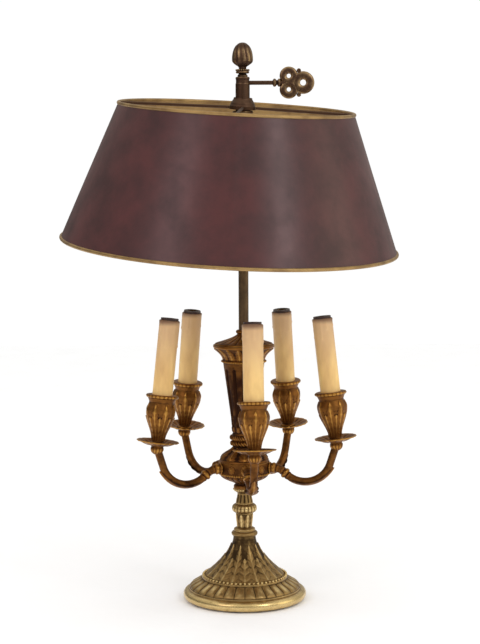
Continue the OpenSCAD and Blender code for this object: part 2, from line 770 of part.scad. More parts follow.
module column() {
    foot_r1 = column_foot_d / 2;
    top_r = column_top_d / 2;
    capital_r = capital_d / 2;
    capital_edge = 3;
    margin = 6;
    shaft_top = column_h - capital_h;
    flare = (top_r - foot_r1) / (shaft_top - column_base_h);
    outer = concat(
        [[0, 0], [joint_d / 2 + 1, 0]],
        arc_points([foot_r1 + 1, 3], 3, -80, 90),
        [[foot_r1 + 1, 7], [foot_r1, column_base_h], [top_r, shaft_top]],
        [[top_r + 1.5, shaft_top + 1], [top_r + 1.5, shaft_top + 3]],
        reversed(trumpet_points([capital_r, column_h - capital_edge], [top_r, shaft_top + 4])),
        [[capital_r, column_h], [0, column_h]]);
    color(DARK_BRASS) translate([0, 0, column_z]) difference() {
        turned(outer);
        translate([0, 0, -1]) cylinder(h = column_h + 2, r = rod_hole_r);
        around(flutes) flute([foot_r1 + flare * margin, column_base_h + margin],
                             [top_r - flare * margin, shaft_top - margin], flute_r, flute_depth);
    }
}

module column_cap() {
    collar_r = pole_d / 2 + 3;
    outer = concat(
        [[0, 0], [capital_d / 2 - 2, 0], [capital_d / 2 - 2, 1.5]],
        trumpet_points([capital_d / 2 - 4, 2], [collar_r - 1, cap_h - 5]),
        arc_points([collar_r - 2, cap_h - 2.5], 2.5, -90, 90),
        [[0, cap_h]]);
    color(DARK_BRASS) translate([0, 0, cap_z]) difference() {
        turned(outer);
        translate([0, 0, -1]) cylinder(h = cap_h + 2, r = pole_d / 2 + thread_gap);
    }
}

module pole() {
    color(DARK_BRASS) translate([0, 0, pole_z]) difference() {
        cylinder(h = pole_l, d = pole_d);
        translate([0, 0, -1]) cylinder(h = pole_l + 2, r = rod_d / 2 + thread_gap);
    }
}

module finial() {
    foot_r1 = finial_foot_d / 2;
    bulb_r = finial_d / 2;
    neck_z = 6;
    tip_power = 0.8;
    outer = concat(
        [[0, -spigot_l], [rod_d / 2, -spigot_l], [rod_d / 2, 0]],
        arc_points([foot_r1 - 1.5, 1.5], 1.5, -90, 90),
        swell_points([foot_r1 - 4, neck_z], [bulb_r, finial_bulb_h]),
        [for (i = [1:CURVE_STEPS - 1]) let (t = i / CURVE_STEPS)
            [bulb_r * pow(cos(90 * t), tip_power),
             finial_bulb_h + (finial_h - finial_bulb_h) * sin(90 * t)]],
        [[0, finial_h]]);
    shoulder = [bulb_r * pow(cos(45), tip_power), (finial_h - finial_bulb_h) * sin(45)];
    sweep_x = (pow(bulb_r, 2) - pow(norm(shoulder), 2)) / 2 / (bulb_r - shoulder[0]);
    sweep_r = bulb_r - sweep_x;
    sweep_end_a = asin(0.85 * (finial_h - finial_bulb_h) / sweep_r);
    color(BRASS) translate([0, 0, finial_z]) difference() {
        turned(outer);
        around(finial_lobes)
            bend([sweep_x, finial_bulb_h], sweep_r + finial_groove_r - finial_groove_depth,
                 -6, sweep_end_a, finial_groove_r);
    }
}

module shade_carrier() {
    carrier_r = carrier_d / 2;
    color(BRASS) difference() {
        translate([0, 0, carrier_z]) turned(concat(
            [[0, 0]],
            arc_points([flange_d / 2 - flange_t / 2, flange_t / 2], flange_t / 2, -90, 90),
            [[carrier_r, flange_t], [carrier_r, carrier_l - 1], [carrier_r - 1, carrier_l],
             [0, carrier_l]]));
        translate([0, 0, carrier_z - 1]) cylinder(h = carrier_l + 2, r = pole_d / 2 + run_gap);
        translate([0, 0, key_z]) rotate([0, 90, 0]) cylinder(h = carrier_d, r = key_d / 2 + run_gap);
    }
}

module key_screw() {
    tip_x = pole_d / 2 + seat_gap;
    lobe_x = key_reach + key_lobe_r;
    collar_r = key_d / 2 + 2.5;
    color(BRASS) translate([0, 0, key_z]) union() {
        translate([tip_x, 0, 0]) rotate([0, 90, 0])
            cylinder(h = key_reach - tip_x + key_lobe_r / 2, d = key_d);
        translate([key_reach - 5, 0, 0]) rotate([0, 90, 0])
            rotate_extrude() polygon(concat([[0, -2]], arc_points([collar_r - 2, 0], 2, -90, 90), [[0, 2]]));
        translate([0, key_t / 2, 0]) rotate([90, 0, 0]) linear_extrude(height = key_t) difference() {
            union() {
                for (side = [-1, 1]) translate([lobe_x, side * key_lobe_z]) circle(r = key_lobe_r);
                translate([lobe_x + key_end_x, 0]) circle(r = key_end_r);
            }
            for (side = [-1, 1]) translate([lobe_x, side * key_lobe_z]) circle(r = key_lobe_hole_r);
            translate([lobe_x + key_end_x, 0]) circle(r = key_end_hole_r);
        }
    }
}

module spider_hub() {
    hub_r = spider_d / 2;
    top = spider_h - hub_low;
    color(BRASS) leaning() difference() {
        turned(concat(
            [[0, -hub_low], [hub_r, -hub_low], [hub_r, -hub_low / 3]],
            swell_points([hub_r - 1, 0], [hub_bore_r + 1.2, top]),
            [[0, top]]));
        translate([0, 0, -spider_h]) cylinder(h = 3 * spider_h, r = hub_bore_r);
    }
}

module spoke(k) {
    a = (k - 1) * 360 / SPOKES;
    hub_r = spider_d / 2 + 0.1;
    ring_r = shade_top_r - shade_t / 2 - rim_r - 0.2;
    start = [hub_r * cos(a), hub_r * sin(a), -hub_low + spoke_r + 0.4];
    end = [shade_shift + ring_r * cos(a), ring_r * sin(a), -shade_drop];
    color(BRASS) leaning() bar(start, end, spoke_r);
}

module shade_shell() {
    color(OXBLOOD) leaning() translate([shade_shift, 0, 0]) turned(
        [[shade_top_r - shade_t, shell_top_z], [shade_top_r, shell_top_z],
         [shade_bottom_r, shell_bottom_z], [shade_bottom_r - shade_t, shell_bottom_z]]);
}

// A wired edge with a flat seat on the sheet: side is 1 on the upper edge and -1 on the lower
module wired_edge(ring_r, z, side) {
    flat = wire_cut / rim_r;
    a = asin(flat);
    color(BRASS) leaning() translate([shade_shift, 0, z]) rotate_extrude()
        polygon([for (i = [0:2 * ROUND_STEPS]) let (t = -a + (180 + 2 * a) * i / (2 * ROUND_STEPS))
            [ring_r + rim_r * cos(t), side * rim_r * sin(t)]]);
}

module upper_rim() {
    wired_edge(shade_top_r - shade_t / 2, -shade_drop, 1);
}

module lower_rim() {
    wired_edge(shade_bottom_r - shade_t / 2, -shade_drop - shade_h, -1);
}

felt_pad();
bottom_plate();
foot_weight();
foot();
rod_nut();
rod_washer();
cord_bushing();
tie_rod();
main_lead();
lower_stem();
hub_bowl();
hub_lid();
arm_nuts();
arm_leads();
nipples();
nipple_nuts();
for (k = [1:ARMS]) {
    arm(k);
    drip_pan(k);
    candle_cup(k);
    candle_sleeve(k);
    socket(k);
}
column();
column_cap();
pole();
finial();
shade_carrier();
key_screw();
spider_hub();
for (k = [1:SPOKES]) spoke(k);
shade_shell();
upper_rim();
lower_rim();
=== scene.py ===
"""Bouillotte lamp: chased brass stand with five candle arms, ivory candles and a painted tole shade.

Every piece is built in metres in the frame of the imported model, and rides on one of its bodies.
"""
from math import atan2, cos, degrees, pi, radians, sin, tan

import bmesh
import bpy
import numpy as np
from bpy.props import FloatProperty, FloatVectorProperty, IntProperty, PointerProperty
from mathutils import Euler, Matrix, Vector


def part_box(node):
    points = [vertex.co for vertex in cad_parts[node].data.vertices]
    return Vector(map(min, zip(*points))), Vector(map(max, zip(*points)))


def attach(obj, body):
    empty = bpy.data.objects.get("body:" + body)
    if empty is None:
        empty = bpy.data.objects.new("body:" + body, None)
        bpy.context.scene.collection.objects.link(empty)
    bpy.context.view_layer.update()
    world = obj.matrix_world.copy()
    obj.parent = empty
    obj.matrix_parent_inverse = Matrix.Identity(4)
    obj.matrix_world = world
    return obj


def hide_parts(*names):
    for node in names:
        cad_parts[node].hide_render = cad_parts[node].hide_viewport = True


bl_info = {
    "name": "Bouillotte lamp",
    "version": (1, 0, 0),
    "blender": (4, 5, 0),
    "location": "View3D > Sidebar > Lamp",
    "description": "Builds the ornament and finishes of a five-light bouillotte lamp",
    "category": "Add Mesh",
}

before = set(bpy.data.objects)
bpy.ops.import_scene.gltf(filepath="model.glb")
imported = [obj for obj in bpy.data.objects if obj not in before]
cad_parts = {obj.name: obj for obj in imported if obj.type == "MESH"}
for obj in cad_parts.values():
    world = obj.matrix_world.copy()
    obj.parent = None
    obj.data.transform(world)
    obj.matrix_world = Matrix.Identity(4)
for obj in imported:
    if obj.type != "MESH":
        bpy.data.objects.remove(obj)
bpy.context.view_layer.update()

MM = 0.001
ARMS = range(1, 6)
# Radius of the turned joints between foot, stem, hub and column
JOINT = 13 * MM
# How finely outlines are walked, how softly their corners are rounded, and the angle from which an edge
# of a mesh stays sharp
STEP = 0.6 * MM
SOFT = 0.45 * MM
CREASE = radians(38)


def linear(code):
    """Turns an sRGB hex colour into Blender's linear values."""
    parts = [int(code[i:i + 2], 16) / 255 for i in (1, 3, 5)]
    return tuple(c / 12.92 if c <= 0.04045 else ((c + 0.055) / 1.055) ** 2.4 for c in parts)


# ---------------------------------------------------------------- places in the frame

def low(node):
    """Lowest point of a node."""
    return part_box(node)[0].z


def high(node):
    """Highest point of a node."""
    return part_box(node)[1].z


def half_width(node):
    """Half of the widest side of a node's box, which is its radius when it is turned."""
    lo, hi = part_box(node)
    return max(hi.x - lo.x, hi.y - lo.y) / 2


def middle(node):
    """Middle of a node's box."""
    lo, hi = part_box(node)
    return (lo + hi) / 2


def arm_azimuth(k):
    """Azimuth of arm k about the lamp's axis."""
    c = middle(f"candle_sleeve_{k}")
    return atan2(c.y, c.x)


def ring_frame(node):
    """Centre, upward axis and radius of a ring: the middle of its box, the normal of the plane that fits
    its points best, and the mean of its points' least and greatest distance from that axis."""
    points = np.array([v.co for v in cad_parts[node].data.vertices], float)
    points = np.unique(points.round(7), axis=0)
    centre = (points.max(0) + points.min(0)) / 2
    axis = np.linalg.svd(points - points.mean(0), full_matrices=False)[2][2]
    axis = axis if axis[2] > 0 else -axis
    rel = points - centre
    away = np.linalg.norm(rel - np.outer(rel @ axis, axis), axis=1)
    return centre, axis, (away.max() + away.min()) / 2


# ---------------------------------------------------------------- outlines

def arc(centre, radius, start, end, steps=10):
    """Points of an arc: the centre plus the radius times (cos a, sin a), with a from start to end degrees."""
    a = np.radians(np.linspace(start, end, steps))
    return np.stack([centre[0] + radius * np.cos(a), centre[1] + radius * np.sin(a)], 1)


def ogee(p, q, steps=14):
    """S-shaped stretch from p to q: the radius follows half a cosine wave while the height grows evenly."""
    t = np.linspace(0, 1, steps)
    return np.stack([p[0] + (q[0] - p[0]) * (1 - np.cos(pi * t)) / 2, p[1] + (q[1] - p[1]) * t], 1)


def trumpet(p, q, power=1.8, steps=16):
    """Trumpet-shaped stretch from p to q: the radius falls with (1 - t) to a power."""
    t = np.linspace(0, 1, steps)
    return np.stack([q[0] + (p[0] - q[0]) * (1 - t) ** power, p[1] + (q[1] - p[1]) * t], 1)


def chain(*stretches):
    """Joins points and stretches of points into one outline."""
    return np.concatenate([np.atleast_2d(np.asarray(s, float)) for s in stretches])


def lengths_along(points):
    """Length walked from the first point to each point."""
    return np.r_[0, np.cumsum(np.linalg.norm(np.diff(points, axis=0), axis=1))]


def walked(points, count):
    """So many points at even steps along an outline."""
    s = lengths_along(points)
    at = np.linspace(0, s[-1], count)
    return np.stack([np.interp(at, s, points[:, k]) for k in (0, 1)], 1)


def soften(points, step, width):
    """Walks an outline at even steps and rounds its corners with a Gaussian of the given width.
    Returns the radius, the height and the wear: how far rounding moved a corner inwards, over the width."""
    p = points[np.r_[True, np.linalg.norm(np.diff(points, axis=0), axis=1) > 1e-8]]
    q = walked(p, max(int(lengths_along(p)[-1] / step), 4) + 1)
    reach = max(int(3 * width / step), 1)
    weights = np.exp(-0.5 * (np.arange(-reach, reach + 1) * step / width) ** 2)
    padded = np.pad(q, ((reach, reach), (0, 0)), mode="reflect", reflect_type="odd")
    smooth = np.stack([np.convolve(padded[:, k], weights / weights.sum(), "valid") for k in (0, 1)], 1)
    smooth[:, 0] = np.maximum(smooth[:, 0], 0)
    smooth[q[:, 0] < 1e-9, 0] = 0
    wear = -((smooth - q) * normals(smooth)).sum(1) / (0.35 * width)
    return smooth[:, 0], smooth[:, 1], np.clip(wear, -1, 1)


def normals(points):
    """Outward normals of an outline that runs upwards: its tangent turned a quarter to the right."""
    t = np.gradient(points, axis=0)
    t /= np.maximum(np.linalg.norm(t, axis=1), 1e-12)[:, None]
    return np.stack([t[:, 1], -t[:, 0]], 1)


# ---------------------------------------------------------------- ornament
# An ornament takes the rows' radius r and height z and the columns' angle a, and returns how far the
# surface stands out and its wear, from -1 in a hollow to 1 on a rubbed edge.

def along(z, lo, hi):
    """Share of the way from lo to hi, and 1 inside that stretch, else 0."""
    t = (z - lo) / (hi - lo)
    return np.clip(t, 0, 1), ((t > 0) & (t < 1)).astype(float)


def gadroons(count, lo, hi, depth, twist=0.0):
    """Round lobes side by side: depth times the root of 1 - x², with x from -1 to 1 across each lobe."""
    def relief(r, z, a):
        t, inside = along(z, lo, hi)
        x = 2 * ((a * count / (2 * pi) + twist * t) % 1) - 1
        lobe = np.sqrt(np.maximum(1 - x * x, 0)) * np.sin(pi * t) ** 0.45 * inside
        return depth * lobe, (1.5 * lobe - 0.8) * inside
    return relief


def leaf_form(x, t, lobes):
    """Height of a carved leaf, 0 to 1, with x across it from -1 to 1 and t from its root to its tip:
    a rounded blade inside a lobed edge, with a midrib and veins that slant towards the tip."""
    half = (1 - t ** 3) ** 0.6 * (0.78 + 0.2 * np.sin(pi * t))
    edge = np.maximum(half * (1 - 0.2 * np.abs(np.cos(pi * lobes * t)) ** 3), 1e-3)
    blade = np.sqrt(np.clip(1 - (np.abs(x) / edge) ** 2.4, 0, 1))
    rib = np.exp(-(x / 0.1) ** 2)
    vein = np.abs(np.cos(pi * (lobes * t - 1.1 * np.abs(x)))) ** 6
    return blade * (0.62 + 0.3 * rib - 0.22 * vein * (1 - rib) + 0.18 * t ** 2)


def leaves(count, lo, hi, depth, lobes, shift=0.0):
    """A band of upright leaves, each with its root at lo and its tip at hi."""
    def relief(r, z, a):
        t, inside = along(z, lo, hi)
        x = 2 * ((a * count / (2 * pi) + shift) % 1) - 1
        form = leaf_form(x, t, lobes) * inside
        return depth * form, np.where(form > 0.02, 2.0 * form - 0.75, -0.55) * inside
    return relief


def layered(*reliefs):
    """Ornaments that lie over each other: at each place the one that stands highest shows."""
    def relief(r, z, a):
        made = [made_by(r, z, a) for made_by in reliefs]
        out, wear = (np.stack([one[i] for one in made]) for i in (0, 1))
        top = out.argmax(0)[None]
        return np.take_along_axis(out, top, 0)[0], np.take_along_axis(wear, top, 0)[0]
    return relief


def flutes(count, lo, hi, radius, depth):
    """Flutes with round ends: a ball of the given radius sunk to the depth and drawn along each groove."""
    def relief(r, z, a):
        pitch = 2 * pi / count
        across = ((a + pitch / 2) % pitch - pitch / 2) * r
        beyond = np.maximum(np.maximum(lo + radius - z, z - hi + radius), 0)
        ball = np.sqrt(np.maximum(radius ** 2 - across ** 2 - beyond ** 2, 0))
        cut = np.maximum(ball - (radius - depth), 0)
        return -cut, -0.9 * cut / depth
    return relief


def patina(lo, hi, amount):
    """No relief, only a change of wear between two heights: below 0 it browns, above 0 it brightens."""
    def relief(r, z, a):
        t, inside = along(z, lo, hi)
        return 0.0, amount * np.sin(pi * t) ** 0.3 * inside
    return relief


def rope(count, lo, hi, depth):
    """A cable moulding: slanting strands round the ring."""
    def relief(r, z, a):
        t, inside = along(z, lo, hi)
        wave = np.cos(count * a + 2 * pi * t)
        return depth * wave * inside, 0.7 * wave * inside
    return relief


def drips(seed, top, radius, bore, runs=7):
    """Runs of wax: each is a narrow ridge down from the top that ends in a fuller drop. They fade out
    over the rim, so that the bore stays plain."""
    def relief(r, z, a):
        draw = np.random.default_rng(seed)
        out = 0.45 * MM * np.exp(-((top - z) / (2.2 * MM)) ** 2)
        for start in np.arange(runs) * 2 * pi / runs + draw.uniform(-0.3, 0.3, runs):
            length, width = draw.uniform(7, 30) * MM, draw.uniform(1.1, 1.7) * MM
            across = ((a - start + pi) % (2 * pi) - pi) * radius
            below = z - (top - length)
            ridge = np.clip(below / (1.5 * MM), 0, 1) * np.exp(-(across / width) ** 2)
            drop = np.exp(-((across / (1.25 * width)) ** 2 + (below / (1.9 * MM)) ** 2))
            out = np.maximum(out, np.maximum(0.5 * MM * ridge, 0.85 * MM * drop))
        out = out * np.clip((r - bore) / (0.5 * (radius - bore)), 0, 1)
        return out, 0.9 * out / MM
    return relief


# ---------------------------------------------------------------- surfaces

def around(count):
    """Even angles round a circle, as columns."""
    return np.linspace(0, 2 * pi, count, endpoint=False)[None, :]


def polar(radius, a, height):
    """Points at a radius, an angle and a height."""
    return np.stack(np.broadcast_arrays(radius * np.cos(a), radius * np.sin(a), height), -1)


def sheet(grid, wear=0.0, wrap=(False, True), slot=0):
    """A grid of points as vertices and quads. Leading axes of the array are separate copies.
    wrap says whether the rows and the columns close on themselves."""
    rows, columns = grid.shape[-3:-1]
    points = grid.reshape(-1, 3)
    worn = np.broadcast_to(wear, grid.shape[:-1]).reshape(-1)
    i, j = np.meshgrid(np.arange(rows - (not wrap[0])), np.arange(columns - (not wrap[1])), indexing="ij")
    up, right = (i + 1) % rows, (j + 1) % columns
    quad = np.stack([i * columns + j, i * columns + right, up * columns + right, up * columns + j], -1)
    copies = len(points) // (rows * columns)
    quad = quad.reshape(1, -1, 4) + (np.arange(copies) * rows * columns)[:, None, None]
    quad = quad.reshape(-1, 4)
    return points, quad, worn, np.full(len(quad), slot)


def turned(points, columns=96, reliefs=(), step=STEP, width=SOFT):
    """Surface of revolution: each row is a circle of the outline's radius at its height, pushed along
    the outline's normal by the sum of the ornaments, which fades towards the axis."""
    r, z, worn = soften(points, step, width)
    a = around(columns)
    out, wear = np.zeros((len(r), columns)), np.repeat(worn[:, None], columns, 1)
    for relief in reliefs:
        d, w = relief(r[:, None], z[:, None], a)
        out, wear = out + d, wear + w
    n = normals(np.stack([r, z], 1))
    out = out * np.minimum(r / (2 * MM), 1)[:, None]
    return sheet(polar(r[:, None] + out * n[:, :1], a, z[:, None] + out * n[:, 1:]), wear)


def beads(count, ring_radius, z, radius):
    """A ring of small balls: each is its centre plus the radius times a unit sphere's points."""
    tilt, turn = np.linspace(-pi / 2, pi / 2, 7)[:, None], around(10)
    ball = radius * polar(np.cos(tilt), turn, np.sin(tilt))
    centres = polar(ring_radius, around(count)[0], z)
    return sheet(centres[:, None, None, :] + ball[None], 0.75)


def tube(path, radius, wear, columns):
    """A round bar along a path in the plane of radius and height: at each point a circle of that
    point's radius, in the plane across the path. Its ends close to a point."""
    path, across = (np.concatenate([line[:1], line, line[-1:]]) for line in (path, normals(path)))
    radius, wear = (np.r_[0, values, 0][:, None] for values in (radius, wear))
    a = around(columns)
    x = path[:, :1] + radius * np.cos(a) * across[:, :1]
    z = path[:, 1:] + radius * np.cos(a) * across[:, 1:]
    return sheet(np.stack([x, radius * np.sin(a), z], -1), np.repeat(wear, columns, 1))


def moved(surface, *changes):
    """The same surface with its points changed by functions of an array of points, one after another."""
    points, quads, worn, slots = surface
    for change in changes:
        points = change(points)
    return points, quads, worn, slots


def at_azimuth(azimuth, shift=0.0):
    """A change that slides points out along +X and then turns them about the lamp's axis."""
    c, s = cos(azimuth), sin(azimuth)

    def change(p):
        x = p[:, 0] + shift
        return np.stack([x * c - p[:, 1] * s, x * s + p[:, 1] * c, p[:, 2]], 1)
    return change


def laid(x, z):
    """A change that lays points drawn on the Z axis along +X, from x on and at height z."""
    return lambda p: np.stack([p[:, 2] + x, p[:, 0], p[:, 1] + z], 1)


def on_candle(k):
    """A change that puts points drawn upright on the Z axis on the candle's axis of arm k: they lean
    inwards about the middle of the boss."""
    p = bpy.context.scene.lamp_arms
    boss_z = arm_line(p)[3]
    c, s = cos(p.lean), sin(p.lean)
    place = at_azimuth(arm_azimuth(k), p.reach)

    def change(q):
        up = q[:, 2] - boss_z
        return place(np.stack([q[:, 0] * c - up * s, q[:, 1], q[:, 0] * s + up * c + boss_z], 1))
    return change


def add_piece(name, surfaces, body, finish, slot, *replaces):
    """One object from several surfaces, with doubles merged so that seams and poles are closed. finish
    names its finish, or lists one for each of the surfaces' slots."""
    starts = np.cumsum([0] + [len(s[0]) for s in surfaces[:-1]])
    points, _, worn, slots = (np.concatenate(part) for part in zip(*surfaces))
    quads = np.concatenate([s[1] + start for s, start in zip(surfaces, starts)])
    mesh = bpy.data.meshes.new(name)
    mesh.from_pydata(points, [], quads)
    mesh.attributes.new("wear", "FLOAT", "POINT").data.foreach_set(
        "value", np.clip(worn, -1, 1).astype(np.float32))
    mesh.polygons.foreach_set("material_index", slots.astype(np.int32))
    work = bmesh.new()
    work.from_mesh(mesh)
    bmesh.ops.remove_doubles(work, verts=work.verts, dist=0.002 * MM)
    bmesh.ops.dissolve_degenerate(work, edges=work.edges, dist=0.0001 * MM)
    work.to_mesh(mesh)
    work.free()
    mesh.shade_smooth()
    mesh.set_sharp_from_angle(angle=CREASE)
    for key in [finish] if isinstance(finish, str) else finish:
        mesh.materials.append(finishes()[key])
    piece = bpy.data.objects.new(name, mesh)
    bpy.context.scene.collection.objects.link(piece)
    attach(piece, body)
    if replaces:
        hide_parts(*replaces)


def finish_node(node, finish):
    """Gives a carried-over node its finish."""
    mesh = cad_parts[node].data
    mesh.materials.clear()
    mesh.materials.append(finishes()[finish])


# ---------------------------------------------------------------- finishes

def add_node(tree, kind, inputs=None, **settings):
    """Adds a node, sets its properties, and sets or links its inputs by name or number. A colour is
    made opaque."""
    made = tree.nodes.new(kind)
    for key, value in settings.items():
        setattr(made, key, value)
    for key, value in (inputs or {}).items():
        socket = made.inputs[key]
        if isinstance(value, bpy.types.NodeSocket):
            tree.links.new(value, socket)
        else:
            socket.default_value = (*value, 1.0) if socket.type == "RGBA" else value
    return made


def new_finish(name, **shader_inputs):
    """An empty material with its shader, whose plain values are set on the shader's own sockets."""
    found = bpy.data.materials.get(name)
    if found:
        bpy.data.materials.remove(found)
    material = bpy.data.materials.new(name)
    material.use_nodes = True
    tree = material.node_tree
    tree.nodes.clear()
    shader = add_node(tree, "ShaderNodeBsdfPrincipled", shader_inputs)
    add_node(tree, "ShaderNodeOutputMaterial", {"Surface": shader.outputs[0]})
    place = add_node(tree, "ShaderNodeTexCoord").outputs["Object"]
    return material, tree, shader, place


def blended(tree, value, lo, hi, under, over, most=1.0, curve="LINEAR"):
    """Lays one colour over another: not at all where the value is lo, rising to the share most at hi."""
    share = add_node(tree, "ShaderNodeMapRange", {"Value": value, "From Min": lo, "From Max": hi,
                                                  "To Min": 0.0, "To Max": most}, interpolation_type=curve)
    return add_node(tree, "ShaderNodeMix", {0: share.outputs[0], 6: under, 7: over},
                    data_type="RGBA").outputs[2]


def give_surface(tree, shader, colour, grain, strength, depth, rough=None):
    """Links the colour, a bump of the given depth from the grain, and the roughness, where rough is its
    value, the value's two ends and the roughness at each of them."""
    tree.links.new(colour, shader.inputs["Base Color"])
    bump = add_node(tree, "ShaderNodeBump", {"Height": grain, "Strength": strength, "Distance": depth})
    tree.links.new(bump.outputs[0], shader.inputs["Normal"])
    if rough:
        ends = dict(zip(("Value", "From Min", "From Max", "To Min", "To Max"), rough))
        tree.links.new(add_node(tree, "ShaderNodeMapRange", ends).outputs[0], shader.inputs["Roughness"])


def chased_brass(name, body, hollow, rubbed, roughness):
    """Cast and chased brass under old lacquer: brown in the hollows, bright where hands have rubbed it.
    The wear attribute holds the hollows and edges, and two noises break it up: clouds of 9 mm, and the
    casting's skin, drawn at 1.1 mm so that it shows."""
    material, tree, shader, place = new_finish(name, Metallic=1.0)
    clouds = add_node(tree, "ShaderNodeTexNoise", {"Vector": place, "Scale": 1 / (9 * MM), "Detail": 5.0,
                                                   "Roughness": 0.6})
    skin = add_node(tree, "ShaderNodeTexNoise", {"Vector": place, "Scale": 1 / (1.1 * MM), "Detail": 3.0})
    wear = add_node(tree, "ShaderNodeAttribute", attribute_name="wear")
    uneven = add_node(tree, "ShaderNodeMath", {0: clouds.outputs["Fac"], 1: 1.5, 2: -0.75},
                      operation="MULTIPLY_ADD")
    mixed = add_node(tree, "ShaderNodeMath", {0: wear.outputs["Fac"], 1: uneven.outputs[0]},
                     operation="ADD").outputs[0]
    browned = blended(tree, mixed, -0.05, -0.85, body, hollow, curve="SMOOTHSTEP")
    bright = blended(tree, mixed, 0.15, 0.95, browned, rubbed, curve="SMOOTHSTEP")
    give_surface(tree, shader, bright, skin.outputs["Fac"], 0.16, 0.1 * MM,
                 (mixed, -1.0, 1.0, roughness + 0.2, roughness - 0.1))
    return material


def drawn_brass(name, body, stain, roughness):
    """Drawn and turned brass tube, long since toned down: streaks of 0.9 mm along the draw, and brown
    stains of 14 mm."""
    material, tree, shader, place = new_finish(name, Metallic=1.0)
    stretch = add_node(tree, "ShaderNodeMapping", {"Vector": place, "Scale": (1.0, 1.0, 0.06)})
    streaks = add_node(tree, "ShaderNodeTexNoise", {"Vector": stretch.outputs[0], "Scale": 1 / (0.9 * MM),
                                                    "Detail": 3.0}).outputs["Fac"]
    stains = add_node(tree, "ShaderNodeTexNoise", {"Vector": place, "Scale": 1 / (14 * MM), "Detail": 4.0})
    colour = blended(tree, stains.outputs["Fac"], 0.4, 0.7, body, stain, most=0.85)
    give_surface(tree, shader, colour, streaks, 0.12, 0.05 * MM,
                 (streaks, 0.3, 0.7, roughness - 0.06, roughness + 0.1))
    return material


def cast_resin(name, body, aged, upper, scorch):
    """Candle cover of cast ivory resin: waxy, faintly translucent, with a few yellowed clouds of 12 mm,
    greyed towards the top by painted shade, where the lamp's shade shadows it, and browned by the lamp's
    heat in the last 7 mm under the rim."""
    # Heights at rest: the candles end at about 0.345
    top_shade_from, top_shade_to, scorch_from, scorch_to = 0.27, 0.34, 0.338, 0.345
    material, tree, shader, place = new_finish(
        name, **{"Roughness": 0.42, "IOR": 1.46, "Subsurface Weight": 0.12, "Subsurface Scale": 3 * MM,
                 "Subsurface Radius": (1.0, 0.7, 0.4)})
    stretch = add_node(tree, "ShaderNodeMapping", {"Vector": place, "Scale": (1.0, 1.0, 0.3)})
    clouds = add_node(tree, "ShaderNodeTexNoise", {"Vector": stretch.outputs[0], "Scale": 1 / (12 * MM),
                                                   "Detail": 4.0})
    wear = add_node(tree, "ShaderNodeAttribute", attribute_name="wear")
    age = add_node(tree, "ShaderNodeMath", {0: wear.outputs["Fac"], 1: -0.5, 2: clouds.outputs["Fac"]},
                   operation="MULTIPLY_ADD")
    yellowed = blended(tree, age.outputs[0], 0.35, 0.85, body, aged)
    height = add_node(tree, "ShaderNodeSeparateXYZ", {0: place}).outputs["Z"]
    # Painted shade: the candles turn grey towards their tops, where the lamp's shade shadows them
    top_shaded = blended(tree, height, top_shade_from, top_shade_to, yellowed, upper, most=0.8, curve="SMOOTHSTEP")
    browned = blended(tree, height, scorch_from, scorch_to, top_shaded, scorch, most=0.85, curve="SMOOTHSTEP")
    fine = add_node(tree, "ShaderNodeTexNoise", {"Vector": place, "Scale": 1 / (2.5 * MM), "Detail": 2.0})
    give_surface(tree, shader, browned, fine.outputs["Fac"], 0.1, 0.15 * MM)
    return material


def brushed_paint(name, body, deep, roughness):
    """Oil paint on tole: satin, with darker clouds of 45 mm and faint upright brush marks, drawn at
    1.6 mm so that they show."""
    material, tree, shader, place = new_finish(
        name, **{"IOR": 1.45, "Coat Weight": 0.05, "Coat Roughness": 0.3, "Coat IOR": 1.5})
    clouds = add_node(tree, "ShaderNodeTexNoise", {"Vector": place, "Scale": 1 / (45 * MM), "Detail": 6.0,
                                                   "Roughness": 0.62}).outputs["Fac"]
    stretch = add_node(tree, "ShaderNodeMapping", {"Vector": place, "Scale": (1.0, 1.0, 0.05)})
    marks = add_node(tree, "ShaderNodeTexNoise", {"Vector": stretch.outputs[0], "Scale": 1 / (1.6 * MM),
                                                  "Detail": 3.0})
    colour = blended(tree, clouds, 0.36, 0.66, body, deep)
    give_surface(tree, shader, colour, marks.outputs["Fac"], 0.1, 0.08 * MM,
                 (clouds, 0.3, 0.7, roughness - 0.05, roughness + 0.08))
    return material


def gilt_paint(name, body, thin, roughness):
    """Gold size and bronze powder: a soft metallic coat with a grain of 0.8 mm, thinner and browner in
    clouds of 22 mm."""
    material, tree, shader, place = new_finish(name, Metallic=0.85)
    clouds = add_node(tree, "ShaderNodeTexNoise", {"Vector": place, "Scale": 1 / (22 * MM), "Detail": 5.0})
    grain = add_node(tree, "ShaderNodeTexNoise", {"Vector": place, "Scale": 1 / (0.8 * MM),
                                                  "Detail": 2.0}).outputs["Fac"]
    colour = blended(tree, clouds.outputs["Fac"], 0.4, 0.7, body, thin, most=0.9)
    give_surface(tree, shader, colour, grain, 0.15, 0.06 * MM,
                 (grain, 0.3, 0.7, roughness - 0.05, roughness + 0.1))
    return material


def plain_finish(name, body, patch, grain, roughness, metallic=0.0):
    """A hidden or small part: two close tones in patches of the given grain, with a matching bump."""
    material, tree, shader, place = new_finish(name, Metallic=metallic)
    noise = add_node(tree, "ShaderNodeTexNoise", {"Vector": place, "Scale": 1 / grain,
                                                  "Detail": 4.0}).outputs["Fac"]
    colour = add_node(tree, "ShaderNodeMix", {0: noise, 6: body, 7: patch}, data_type="RGBA").outputs[2]
    give_surface(tree, shader, colour, noise, 0.3, 0.1 * grain,
                 (noise, 0.3, 0.7, roughness - 0.08, roughness + 0.08))
    return material


MADE = {}


